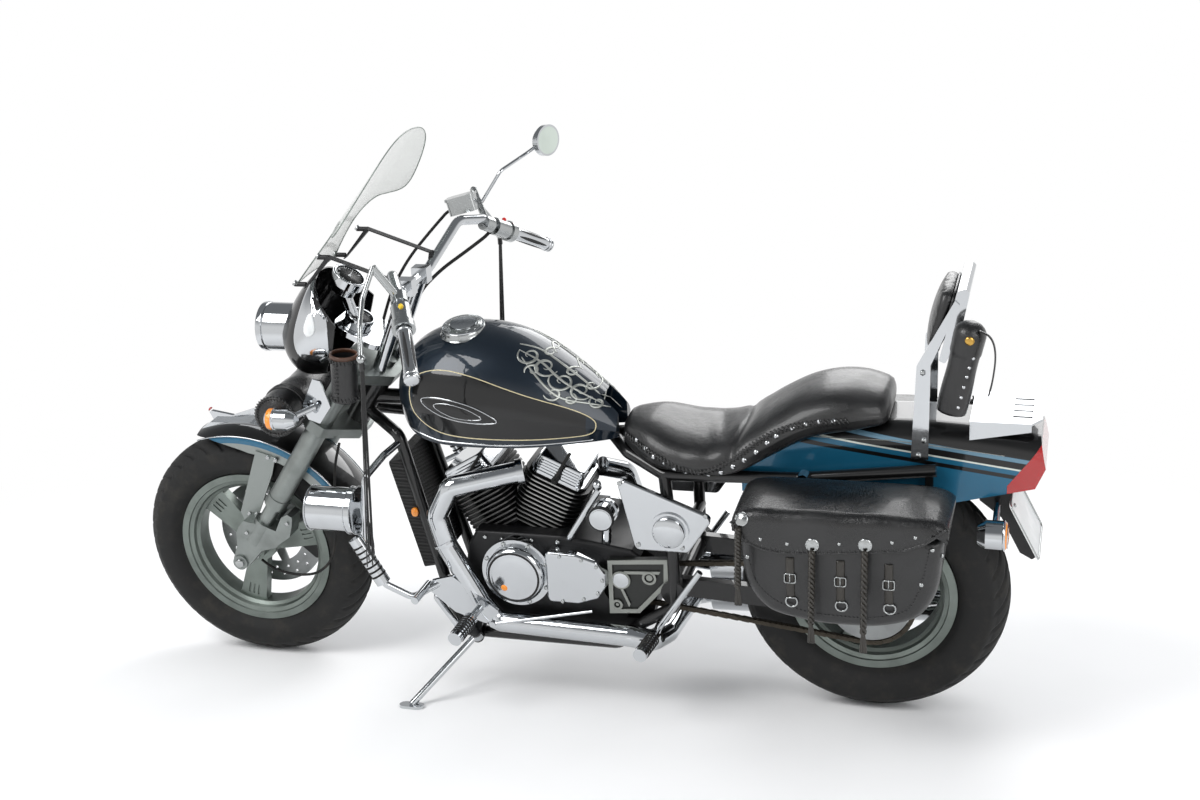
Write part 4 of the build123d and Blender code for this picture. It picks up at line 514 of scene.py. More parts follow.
def leather(name, colour, shine=0.31, grain=620.0, folds=1.3):
    """Black hide: a fine pebble grain, broad soft creases and worn, duller patches."""
    f = Finish(name)
    pebble = f.cells(grain).ramp(0.05, 0.75)
    creases = f.noise(26.0, 4.0, 0.6)
    wear = f.noise(9.0, 3.0, 0.5).ramp(0.42, 0.72)
    dark, light = shade(*colour), shade(*(min(1.0, c * 1.5 + 0.022) for c in colour))
    f.set(
        Base_Color=f.blend(wear * 0.55 + pebble * 0.12, dark, light),
        Roughness=wear * 0.16 + pebble * 0.08 + (shine - 0.06),
        Normal=f.bump(pebble * 0.2 + creases * (1.3 * folds), 2.0, 0.6),
        Coat_Weight=wear * 0.1 + 0.3, Coat_Roughness=0.16, Specular_IOR_Level=0.5,
    )
    return f.material


def bright(name, colour=(0.77, 0.78, 0.79), rough=0.06, haze=0.05):
    """Chrome: polished, with faint wiping marks and a little dust."""
    f = Finish(name)
    marks = f.noise(60.0, 5.0, 0.65).ramp(0.35, 0.8)
    dust = f.noise(11.0, 3.0, 0.5).ramp(0.5, 0.85)
    f.set(
        Base_Color=f.blend(dust * 0.35, shade(*colour), shade(*(c * 0.86 for c in colour))),
        Metallic=1.0, Roughness=marks * haze + dust * haze + rough,
        Normal=f.bump(f.noise(240.0, 2.0, 0.5), 0.08, 0.25),
    )
    return f.material


def metal(name, colour, rough, grain=900.0):
    """Cast or brushed alloy: fine grain, cloudy colour and uneven gloss."""
    f = Finish(name)
    fine = f.noise(grain, 3.0, 0.6)
    cloud = f.noise(14.0, 4.0, 0.55).ramp(0.3, 0.75)
    f.set(
        Base_Color=f.blend(cloud * 0.6, shade(*colour), shade(*(c * 0.78 for c in colour))),
        Metallic=0.95, Roughness=cloud * 0.12 + fine * 0.08 + (rough - 0.04),
        Normal=f.bump(fine, 0.12, 0.35),
    )
    return f.material


def matt(name, colour, rough=0.6, grain=700.0, depth=0.3, metallic=0.0):
    """Moulded plastic or cast paint: an even fine texture with slightly paler edges of wear."""
    f = Finish(name)
    fine = f.noise(grain, 3.0, 0.55)
    cloud = f.noise(18.0, 3.0, 0.5).ramp(0.4, 0.75)
    f.set(
        Base_Color=f.blend(cloud * 0.5, shade(*colour), shade(*(min(1.0, c * 1.35 + 0.02) for c in colour))),
        Roughness=cloud * 0.12 + fine * 0.1 + (rough - 0.08), Metallic=metallic,
        Normal=f.bump(fine, depth, 0.5),
    )
    return f.material


def lacquer(name, colour, flake=0.35):
    """Deep paint with metal flakes under a clear coat."""
    f = Finish(name)
    sparkle = f.cells(2600.0).ramp(0.15, 0.5)
    cloud = f.noise(5.0, 2.0, 0.5).ramp(0.3, 0.8)
    pale = tuple(min(1.0, c * 1.45 + 0.03) for c in colour)
    f.set(
        Base_Color=f.blend(sparkle * flake + cloud * 0.12, shade(*colour), shade(*pale)),
        Metallic=0.45, Roughness=sparkle * 0.12 + 0.3, Coat_Weight=0.8, Coat_Roughness=0.04, Specular_IOR_Level=0.3,
        Normal=f.bump(f.noise(40.0, 2.0, 0.5), 0.1, 0.15),
    )
    return f


def lens(name, colour, ribs=260.0):
    """Moulded lamp plastic: ribbed inside, glossy outside, paler towards the ribs."""
    f = Finish(name)
    waves = f.bands(ribs, "Z")
    pale = tuple(min(1.0, c * 1.2 + 0.08) for c in colour)
    f.set(
        Base_Color=f.blend(waves.ramp(0.2, 0.9) * 0.7, shade(*colour), shade(*pale)),
        Roughness=waves * 0.05 + 0.1, Coat_Weight=1.0, Coat_Roughness=0.03,
        Normal=f.bump(waves, 0.5, 0.5),
    )
    return f.material


def rubber(name, colour=(0.085, 0.085, 0.085)):
    """Tyre rubber: dusty, matt, with faint moulding rings."""
    f = Finish(name)
    dust = f.noise(20.0, 5.0, 0.65).ramp(0.45, 0.8)
    fine = f.noise(900.0, 2.0, 0.5)
    f.set(
        Base_Color=f.blend(dust * 0.7, shade(*colour), shade(0.21, 0.2, 0.18)),
        Roughness=dust * 0.15 + fine * 0.08 + 0.62, Normal=f.bump(fine, 0.25, 0.5), Specular_IOR_Level=0.35,
    )
    return f.material


def clear_sheet(name):
    """Clear acrylic, hazier and dustier towards its foot, with fine wiping marks."""
    f = Finish(name)
    z = f.upright()[2]
    marks = f.noise(30.0, 4.0, 0.6).ramp(0.45, 0.9)
    dust = (1.0 - (z - 1180.0).ramp(-60, 160)) * f.noise(160.0, 3.0, 0.6).ramp(0.3, 0.8)
    f.set(
        Base_Color=f.blend(dust, shade(0.64, 0.68, 0.65), shade(0.46, 0.47, 0.43)),
        Roughness=marks * 0.1 + 0.06, Alpha=marks * 0.07 + dust * 0.3 + 0.24, Specular_IOR_Level=0.6,
    )
    return f.material


def ribbed_cover():
    """Cast cover: raised ribs and rings in bright alloy, the floor between them black."""
    f = Finish("cast_cover")
    raised = (abs(f.upright()[1]) - 147.0).ramp(-1, 1)
    fine = f.noise(700.0, 3.0, 0.6)
    f.set(
        Base_Color=f.blend(raised, shade(0.09, 0.10, 0.09), shade(0.58, 0.59, 0.57)), Metallic=raised * 0.9,
        Roughness=fine * 0.12 + 0.34, Normal=f.bump(fine, 0.3, 0.5),
    )
    return f.material


def finned_barrels():
    """Black fins whose outer edges are machined bright, brighter on the rear cylinder."""
    f = Finish("finned_barrels")
    x, y, _ = f.upright()
    rear = (x - 790.0).ramp(-20, 40)
    edge = (abs(y) - 83.0).ramp(-0.6, 0.6) * (rear * 0.45 + 0.12)
    fine = f.noise(500.0, 3.0, 0.55)
    f.set(
        Base_Color=f.blend(edge, shade(0.05, 0.05, 0.055), shade(0.80, 0.80, 0.79)), Metallic=edge * 0.9 + 0.25,
        Roughness=fine * 0.12 + 0.33, Normal=f.bump(fine, 0.3, 0.5),
    )
    return f.material


def colour_property(name, description, default):
    return bpy.props.FloatVectorProperty(
        name=name, description=description, size=3, default=default, subtype="COLOR", min=0, max=1,
    )


def length_property(name, description, default, least, most):
    return bpy.props.FloatProperty(
        name=name, description=description, default=default, min=least, max=most, unit="LENGTH", precision=4,
    )


class CruiserColours(bpy.types.PropertyGroup):
    """Colours that a user would change, written as they look"""

    leather: colour_property("Leather", "Seat, bags and roll", (0.05, 0.05, 0.053))
    tank: colour_property("Tank", "Upper colour of the fuel tank", (0.02, 0.075, 0.12))
    fenders: colour_property("Fenders", "Blue of both fenders", (0.06, 0.29, 0.39))
    castings: colour_property("Castings", "Fork castings and wheels", (0.56, 0.58, 0.57))
    pinstripe: colour_property("Pinstripe", "Line round the tank's panel", (0.80, 0.74, 0.58))


class CruiserSizes(bpy.types.PropertyGroup):
    """Sizes that a user would change"""

    stud: length_property("Stud", "Radius of the seat's studs", 0.0064, 0.002, 0.01)
    lace: length_property("Lace", "Half width of the leather lacing", 0.0022, 0.001, 0.004)
    tread: length_property("Tread", "Depth of the tyre grooves", 0.005, 0.0, 0.008)
    strand: length_property("Strand", "Width of a fringe strand", 0.003, 0.0015, 0.006)
    grooves: bpy.props.IntProperty(
        name="Grooves", description="Grooves round each side of a tyre", default=38, min=8, max=60,
    )


FINISHES = {}


def finishes():
    """Make every finish once and hand back the table."""
    if FINISHES:
        return FINISHES
    tints = bpy.context.scene.cruiser_colours
    FINISHES.update(
        leather=leather("black_hide", tuple(tints.leather)),
        soft_leather=leather("soft_black_hide", tuple(tints.leather), 0.27, 520.0, 2.0),
        brown_leather=leather("brown_rim_hide", (0.25, 0.15, 0.09), 0.5),
        strap_leather=leather("worn_strap_hide", (0.115, 0.10, 0.075), 0.42),
        chrome=bright("chrome_plate"),
        dull_chrome=bright("worn_chrome", (0.68, 0.69, 0.69), 0.16, 0.1),
        alloy=metal("satin_alloy", tuple(tints.castings), 0.36),
        wheel=metal("wheel_alloy_satin", (0.50, 0.53, 0.51), 0.4),
        steel=metal("machined_steel", (0.60, 0.61, 0.61), 0.3, 1500.0),
        chain=metal("oiled_chain", (0.30, 0.28, 0.25), 0.42),
        engine_black=matt("engine_satin_black", (0.075, 0.075, 0.08), 0.42, 500.0, 0.35, 0.3),
        plastic=matt("black_moulding", (0.08, 0.08, 0.085), 0.55),
        gloss_black=lacquer("gloss_black", (0.022, 0.022, 0.026), 0.06).material,
        frame_black=lacquer("frame_black", (0.05, 0.05, 0.052), 0.08).material,
        rubber=rubber("tyre_rubber"),
        grip_rubber=rubber("hose_rubber", (0.06, 0.06, 0.06)),
        red=lens("red_lamp", (0.58, 0.018, 0.025)),
        amber=lens("amber_lamp", (0.93, 0.50, 0.06)),
        clear_lens=lens("clear_lamp", (0.78, 0.80, 0.80), 420.0),
        brass=bright("brass_button", (0.78, 0.62, 0.32), 0.2),
        white=matt("white_sheet", (0.86, 0.87, 0.87), 0.4, 600.0, 0.05),
        dial=matt("dial_black", (0.05, 0.055, 0.06), 0.5, 900.0, 0.03),
        pinstripe=lacquer("pinstripe_line", tuple(tints.pinstripe), 0.1).material,
        silver=metal("silver_scroll", (0.72, 0.73, 0.71), 0.34),
        screen=clear_sheet("clear_acrylic"),
        screen_rim=matt("polished_acrylic_edge", (0.44, 0.47, 0.45), 0.2, 300.0, 0.05),
        yellow=matt("yellow_switch", (0.85, 0.68, 0.10), 0.4),
        red_switch=matt("red_switch", (0.75, 0.10, 0.08), 0.4),
        mirror=bright("mirror_face", (0.82, 0.86, 0.83), 0.02, 0.01),
    )
    return FINISHES


TANK_LOOP = (
    (535, 857), (571, 882), (629, 893), (704, 881), (778, 856), (851, 828), (923, 799), (971, 773), (994, 751),
    (980, 722), (917, 718), (766, 717), (663, 720), (599, 732), (551, 766), (530, 813),
)


def tank_paint():
    """Dark blue metallic with a black panel on each side, bounded by straight cuts along the panel's outline."""
    colour = tuple(bpy.context.scene.cruiser_colours.tank)
    f = lacquer("tank_paint", colour, 0.3)
    x, y, z = f.upright()
    loop = even(soften(TANK_LOOP, True, 1), 14, True)
    after = np.roll(loop, -1, 0)
    run = unit(after - loop)
    outside = None
    for (ax, az), (dx, dz) in zip(loop.tolist(), run.tolist()):
        distance = (x - ax) * (-dz) + (z - az) * dx
        outside = distance if outside is None else outside.larger(distance)
    panel = (1.0 - outside.ramp(-1.0, 1.0)) * (abs(y) - 60.0).ramp(-2, 2)
    f.set(Base_Color=f.blend(panel, f.colour(), shade(0.015, 0.015, 0.018)))
    return f.material


def front_fender_paint():
    """Blue skirts, black crown; the border follows the crown at a set distance from the axle."""
    f = lacquer("front_fender_paint", tuple(bpy.context.scene.cruiser_colours.fenders), 0.4)
    x, _, z = f.upright()
    away = (x * x + (z - FRONT_AXLE_Z) * (z - FRONT_AXLE_Z)).root()
    crown = (away - 336.0).ramp(-1, 1)
    stay = 1.0 - (away - 318.0).ramp(-1, 1)
    painted = f.blend(crown, f.colour(), shade(0.02, 0.02, 0.022))
    f.set(
        Base_Color=f.blend(stay, painted, shade(*bpy.context.scene.cruiser_colours.castings)),
        Metallic=stay * 0.5 + 0.45, Coat_Weight=1.0 - stay * 0.8,
    )
    return f.material


def rear_fender_paint():
    """Teal sides under black and pale bands that run back along the fender, with a black crown. The pale blue band
    between two black ones is a painted reflection of the sky.
    """
    f = lacquer("rear_fender_paint", tuple(bpy.context.scene.cruiser_colours.fenders), 0.45)
    x, y, z = f.upright()
    line = z - (x - 1830.0) * -0.13
    # sky is the pale blue of a painted sky reflection, laid below as the band from 732 to 742
    black, pale, sky = shade(0.02, 0.02, 0.022), shade(0.82, 0.84, 0.80), shade(0.38, 0.52, 0.60)
    colour = f.colour()
    # the band from 732 to 742 in the sky colour is a painted reflection of the sky
    for low, high, tint in ((742, 900, black), (732, 742, sky), (716, 732, black), (712, 716, pale), (690, 700, black)):
        band = (line - low).ramp(-0.8, 0.8) * (1.0 - (line - high).ramp(-0.8, 0.8))
        colour = f.blend(band, colour, tint)
    crown = 1.0 - (abs(y) - 50.0).ramp(-1, 1)
    f.set(Base_Color=f.blend(crown, colour, black))
    return f.material


def radiator_finish():
    """Fine upright fins between flat tubes."""
    f = Finish("radiator_core")
    rows, tubes = f.bands(120.0, "Y"), f.bands(34.0, "Z")
    f.set(
        Base_Color=f.blend(tubes.ramp(0.3, 0.8), shade(0.05, 0.05, 0.05), shade(0.16, 0.16, 0.16)), Metallic=0.4,
        Roughness=rows * 0.2 + 0.45, Normal=f.bump(rows + tubes * 2.0, 1.2, 0.8),
    )
    return f.material


# CAD nodes that stay, and their finishes
NODE_FINISHES = dict(
    front_wheel="wheel", rear_wheel="wheel", brake_disc="steel", rear_sprocket="steel", fork_tubes="alloy",
    fork_clamps="alloy", fork_sliders="alloy", brake_caliper="plastic", fender_ornament="chrome",
    handlebar="chrome", hand_grips="chrome", bar_controls="dull_chrome", mirror_right="chrome", gauges="chrome",
    headlight="chrome", cowl="gloss_black", screen_straps="plastic", front_lamps="chrome",
    cables="grip_rubber", frame="frame_black", crankcase="engine_black", rocker_covers="chrome",
    engine_covers="chrome", mufflers="chrome", exhaust_pipes="chrome",
    fuel_cap="chrome", side_covers="chrome", swingarm="frame_black", shock_absorbers="chrome", sissy_bar="chrome",
    luggage_rack="chrome", tail_light="red", plate_holder="plastic", number_plate="white",
    rear_indicators="chrome", foot_controls="chrome", engine_guard="chrome", horns="chrome", side_stand="chrome",
)


class CRUISER_OT_solids(bpy.types.Operator):
    """Give every solid that stays its finish"""

    bl_idname = "cruiser.solids"
    bl_label = "Finish the solids"

    def execute(self, context):
        table = finishes()
        special = {
            "fuel_tank": tank_paint(), "front_fender": front_fender_paint(), "rear_fender": rear_fender_paint(),
            "radiator": radiator_finish(), "sprocket_cover": ribbed_cover(), "cylinders": finned_barrels(),
        }
        for node, thing in frame["nodes"].items():
            thing.data.materials.clear()
            thing.data.materials.append(special.get(node) or table[NODE_FINISHES.get(node, "plastic")])
        return {"FINISHED"}


# ---------------------------------------------------------------------------------------------
# Tyres and chain
# ---------------------------------------------------------------------------------------------
def tyre(name, body, replaced, axle_x, radius, half, lip, bead, rim_half):
    """A closed section swept round the axle, with grooves cut into the crown.

    The section is a 64 mm arc over the crown, then down the bulged sidewall to the bead. A groove is a
    slanted band: the depth falls where the angle times the groove count, plus a share of the distance
    from the middle, comes close to a whole number."""
    sizes = bpy.context.scene.cruiser_sizes
    arc = np.radians(np.linspace(0, 54, 18))
    shoulder = radius - CROWN
    right = [(CROWN * math.sin(a), shoulder + CROWN * math.cos(a)) for a in arc]
    right = np.array(right + [
        (half - 6, shoulder + 30), (half - 2, shoulder + 22), (half, (lip + shoulder) / 2 + 8),
        (half - 5, lip + 20), (half - 14, lip + 8), (rim_half - 3, lip + 2.5), (rim_half - 5, lip - 2),
        (rim_half - 5, bead + 1.5), (0.0, bead + 1.5),
    ])
    section = np.vstack([right, right[-2:0:-1] * [-1, 1]])
    angle = np.linspace(0, 2 * np.pi, 760, endpoint=False)[:, None]
    side, reach = section[None, :, 0], section[None, :, 1]
    slant = angle * sizes.grooves / (2 * np.pi) + np.abs(side) / 34.0 + (side > 0) * 0.5
    near = np.abs(slant - np.round(slant))
    reached = smooth_step(8, 12, np.abs(side)) * (1 - smooth_step(58, 63, np.abs(side)))
    band = (1 - smooth_step(0.08, 0.15, near)) * reached
    rib = 1 - smooth_step(1.6, 3.6, np.abs(np.abs(side) - 5.0))
    depth = 1000 * sizes.tread * np.maximum(band, rib) * smooth_step(shoulder + 20, shoulder + 28, reach)
    depth += 0.9 * np.exp(-((reach - (lip + 46)) / 2.2) ** 2) - 0.8 * np.exp(-((reach - (lip + 30)) / 2.5) ** 2)
    away = reach - depth
    grid = np.stack([
        axle_x + away * np.cos(angle), np.broadcast_to(side, away.shape), radius + away * np.sin(angle),
    ], -1)
    piece = build(name, Heap().surface(grid, True, True), body, "rubber")
    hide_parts(replaced)


class CRUISER_OT_tyres(bpy.types.Operator):
    """Grooved tyres on both wheels"""

    bl_idname = "cruiser.tyres"
    bl_label = "Tyres"

    def execute(self, context):
        tyre("front_tyre_tread", "front_wheel", "front_tyre", 0.0, FRONT_AXLE_Z, 66.5, 214.5, 205.0, 46.0)
        tyre("rear_tyre_tread", "rear_wheel", "rear_tyre", WHEELBASE, REAR_AXLE_Z, 75.0, 204.0, 193.0, 53.0)
        return {"FINISHED"}


CHAIN_Y, CHAIN_LINKS = -96.0, 124


def slab(outline, size, low, high):
    """A flat plate as a small shape: an outline carried from low to high and closed to its middle."""
    layers = [
        np.column_stack([outline * share, np.full(len(outline), height)])
        for share, height in ((0, low), (size, low), (size, high), (0, high))
    ]
    return np.vstack(layers), grid_faces(4, len(outline), False, True)


def chain_line():
    """The chain's closed line: round the rear sprocket, along the upper run, round the front one and back."""
    big, small = np.array([WHEELBASE, REAR_AXLE_Z]), np.array([CRANK_X + 282, 335.0])
    big_r, small_r = 107.3, 47.3
    way = small - big
    length = np.linalg.norm(way)
    heading, lean = math.atan2(way[1], way[0]), math.acos((big_r - small_r) / length)
    first = np.linspace(heading + lean, heading - lean + 2 * np.pi, 40)
    second = np.linspace(heading - lean, heading + lean, 20)
    back = big + big_r * np.stack([np.cos(first), np.sin(first)], -1)
    front = small + small_r * np.stack([np.cos(second), np.sin(second)], -1)
    return np.vstack([back, front])


class CRUISER_OT_chain(bpy.types.Operator):
    """Link plates and rollers of the drive chain"""

    bl_idname = "cruiser.chain"
    bl_label = "Drive chain"

    def execute(self, context):
        line = even(chain_line(), CHAIN_LINKS, True)
        after = np.roll(line, -1, 0)
        way = unit(after - line)
        centre = np.stack([(line + after)[:, 0] / 2, np.full(len(line), CHAIN_Y), (line + after)[:, 1] / 2], -1)
        along = np.stack([way[:, 0], np.zeros(len(line)), way[:, 1]], -1)
        pitch = np.linalg.norm(after - line, axis=1).mean()
        cosine, sine = circle(12).T
        plate = np.column_stack([np.sign(cosine) * pitch / 2 + 5.04 * cosine, 5.6 * sine])
        links = Heap()
        for parity, outer in ((0, 6.4), (1, 4.6)):
            for hand in (-1, 1):
                low, high = sorted((hand * outer, hand * (outer - 1.6)))
                links.repeat(*slab(plate, 1, low, high), centre[parity::2], (0, 1, 0), along[parity::2])
        pins = np.stack([line[:, 0], np.full(len(line), CHAIN_Y), line[:, 1]], -1)
        links.repeat(*slab(circle(6), 2.6, -7.2, 7.2), pins, (0, 1, 0))
        piece = build("chain_links", links, "chassis", "chain", smooth=False)
        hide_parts("drive_chain")
        return {"FINISHED"}


# ---------------------------------------------------------------------------------------------
# Leather
# ---------------------------------------------------------------------------------------------
SEAT_SECTIONS = np.array([
    (0.0, 66, 692, 752), (0.116, 124, 655, 757), (0.271, 152, 648, 737), (0.457, 152, 655, 752),
    (0.581, 143, 697, 808), (0.705, 138, 742, 850), (0.891, 127, 770, 866), (1.0, 102, 782, 850),
], float)
SEAT_FRONT, SEAT_REAR = CRANK_X + 275, WHEELBASE + 45


def curve_through(stations, values, at):
    """A smooth curve through values at rising stations: cubic runs whose slopes are the neighbours' mean slope."""
    slopes = np.gradient(values, stations)
    index = np.clip(np.searchsorted(stations, at) - 1, 0, len(stations) - 2)
    width = stations[index + 1] - stations[index]
    t = (at - stations[index]) / width
    a, b = values[index], values[index + 1]
    return (
        (2 * t ** 3 - 3 * t ** 2 + 1) * a + (t ** 3 - 2 * t ** 2 + t) * width * slopes[index]
        + (3 * t ** 2 - 2 * t ** 3) * b + (t ** 3 - t ** 2) * width * slopes[index + 1]
    )


def seat_heap():
    """Sections along the seat, each a rounded form that is broad below and crowned above.

    At angle a the side is the half width times cos a to the power 0.7, and the height runs from the
    edge line up by sin a to 0.9, or down by sin a to 0.6. Rounded ends close over a short length, a groove
    follows the seam between the rider's and the passenger's part, and creases spread from it."""
    share = np.concatenate([[0, 0.004, 0.012, 0.03], np.linspace(0.05, 0.95, 92), [0.97, 0.988, 0.996, 1.0]])
    angle = np.linspace(0, 2 * np.pi, 96, endpoint=False)
    half, low, high = (curve_through(SEAT_SECTIONS[:, 0], SEAT_SECTIONS[:, k], share)[:, None] for k in (1, 2, 3))
    closing = np.clip(1 - (np.abs(2 * share - 1) ** 60), 0, 1)[:, None] ** 0.36
    edge = low + (high - low) * 0.36
    c, s = np.cos(angle)[None], np.sin(angle)[None]
    side = half * np.sign(c) * np.abs(c) ** 0.7
    top = (high - edge) * np.abs(s) ** 0.92
    under = -(edge - low) * np.abs(s) ** 0.55
    height = edge + np.where(s > 0, top, under) * closing
    x = (SEAT_FRONT + (SEAT_REAR - SEAT_FRONT) * share)[:, None] + 0 * c
    upper = smooth_step(0.0, 0.5, s)
    seam = share[:, None] * (SEAT_REAR - SEAT_FRONT) + SEAT_FRONT - (1352 - 0.0011 * side ** 2)
    groove = 5.0 * np.exp(-(seam / 7.0) ** 2) * upper
    swell = 3.0 * np.exp(-((np.abs(seam) - 26) / 18.0) ** 2) * upper
    creases = 1.4 * np.sin(x / 9.0 + side / 30.0) * np.exp(-((seam + 40) / 45.0) ** 2) * upper
    piping = 2.4 * np.exp(-((s - 0.05) / 0.05) ** 2)
    grid = np.stack([x, side * (closing ** 0.6) + np.sign(c) * piping, height - groove + swell + creases * 0.7], -1)
    return Heap().surface(grid, False, True)


def puffed(piece, voxel, pressure, cap):
    """Swell a closed form with cloth pressure: remesh, 20 frames without gravity, each point's move capped."""
    scene = bpy.context.scene
    bpy.context.view_layer.objects.active = piece
    remesh = piece.modifiers.new("remesh", "REMESH")
    remesh.mode, remesh.voxel_size, remesh.use_smooth_shade = "VOXEL", voxel / 1000, True
    bpy.ops.object.select_all(action="DESELECT")
    piece.select_set(True)
    bpy.ops.object.modifier_apply(modifier="remesh")
    start = np.zeros(len(piece.data.vertices) * 3)
    piece.data.vertices.foreach_get("co", start)
    cloth = piece.modifiers.new("cloth", "CLOTH")
    settings = cloth.settings
    settings.quality, settings.mass = 4, 0.4
    settings.tension_stiffness = settings.compression_stiffness = 12
    settings.shear_stiffness, settings.bending_stiffness = 6, 1.5
    settings.use_pressure, settings.uniform_pressure_force = True, pressure
    settings.effector_weights.gravity = 0
    cloth.collision_settings.use_collision = False
    scene.frame_start, scene.frame_end = 1, 20
    cloth.point_cache.frame_start, cloth.point_cache.frame_end = 1, 20
    for step in range(1, 21):
        scene.frame_set(step)
    moved = piece.evaluated_get(bpy.context.evaluated_depsgraph_get())
    end = np.zeros(len(start))
    moved.data.vertices.foreach_get("co", end)
    piece.modifiers.remove(cloth)
    scene.frame_set(1)
    move = (end - start).reshape(-1, 3)
    length = np.linalg.norm(move, axis=1, keepdims=True)
    move *= np.minimum(1, cap / 1000 / np.maximum(length, 1e-9))
    piece.data.vertices.foreach_set("co", (start.reshape(-1, 3) + move).ravel())
    piece.data.polygons.foreach_set("use_smooth", np.full(len(piece.data.polygons), True))
    piece.data.update()
    return piece


def stitches(heap, line, normals, pitch, length, radius, slant=0.35):
    """Short rounded bars across a line, one every pitch, leaning along it."""
    line = np.asarray(line, float)
    count = max(2, int(span(line) / pitch))
    where, facing = even(line, count), unit(even(normals, count))
    way = unit(np.gradient(where, axis=0))
    across = unit(unit(np.cross(way, facing)) + slant * way)
    ring = np.column_stack([np.zeros(6), circle(6)])
    stations = ((-0.5, 0.0, -0.6), (-0.42, 0.9, 0.0), (0.0, 1.0, 0.5), (0.42, 0.9, 0.0), (0.5, 0.0, -0.6))
    layers = [ring * radius * size + [length * at, 0, radius * rise] for at, size, rise in stations]
    return heap.repeat(np.vstack(layers), grid_faces(5, 6, False, True), where, facing, across)


STUD_LINE = (
    (1090, 719), (1118, 708), (1140, 694), (1168, 682), (1192, 670), (1218, 661), (1246, 657), (1275, 659),
    (1307, 670), (1336, 687), (1363, 704), (1390, 726), (1416, 748), (1437, 765), (1475, 786), (1505, 796),
    (1537, 804), (1569, 808),
)
LACE_LINE = (
    (1061, 755), (1116, 735), (1175, 708), (1234, 688), (1270, 690), (1332, 722), (1380, 762), (1428, 796),
    (1497, 822), (1599, 834),
)


class CRUISER_OT_seat(bpy.types.Operator):
    """Stepped seat with a laced seam and a row of studs on each side"""

    bl_idname = "cruiser.seat"
    bl_label = "Seat"

    def execute(self, context):
        sizes = context.scene.cruiser_sizes
        seat = build("seat_leather", seat_heap(), "chassis", "leather")
        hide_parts("seat")
        tree = skin(seat)
        studs, laces = Heap(), Heap()
        stud = dome(1000 * sizes.stud, 3.4)
        for hand in (-1, 1):
            studs.repeat(*stud, *lay_side(tree, STUD_LINE, hand, 0.1, 300.0))
            places, normals = lay_side(tree, even(soften(LACE_LINE), 90), hand, 0.6, 300.0, 0.15)
            stitches(laces, places, normals, 9.5, 19.0, 1300 * sizes.lace, 0.6)
            laces.tube(places - normals * 0.6, 2.6, 8)
        build("seat_studs", studs, "chassis", "chrome")
        build("seat_lacing", laces, "chassis", "soft_leather")
        return {"FINISHED"}


def pad_place(origin, across, up, facing):
    """Plane coordinates to upright ones: first along across, second along up, height along facing."""
    o, a, b, c = (np.asarray(v, float) for v in (origin, across, up, facing))
    return lambda grid: o + grid[..., :1] * a + grid[..., 1:2] * b + grid[..., 2:] * c


class CRUISER_OT_backrest(bpy.types.Operator):
    """Crowned leather pad on the backrest"""

    bl_idname = "cruiser.backrest"
    bl_label = "Backrest pad"

    def execute(self, context):
        low, high = np.array([WHEELBASE + 137, 0, 951.0]), np.array([WHEELBASE + 178, 0, 1114.0])
        up = unit(high - low)
        facing = np.array([up[2], 0, -up[0]])
        tall = np.linalg.norm(high - low) / 2
        half = np.array([(97, 3 - tall), (97, tall - 25), (70, tall - 3)])
        corners = np.vstack([half[:1] * [-1, 1], half, half[:0:-1] * [-1, 1]])
        outline = even(soften(corners, True, 3), 72, True)
        place = pad_place((low + high) / 2 - facing * 17, (0, 1, 0), up, facing)
        heap = Heap().pillow(outline, 0, 32, 14, 9, 0, place)
        pad = build("backrest_leather", heap, "chassis", "leather")
        puffed(pad, 5, 4.0, 6)
        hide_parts("backrest_pad")
        welt = Heap().tube(place(np.column_stack([outline * 0.995, np.full(72, 28.0)])), 2.6, 8, True)
        build("backrest_welt", welt, "chassis", "soft_leather")
        return {"FINISHED"}


ROLL_CENTRE, ROLL_RADIUS, ROLL_HALF = (176.0, 757.0), 58.0, 163.0


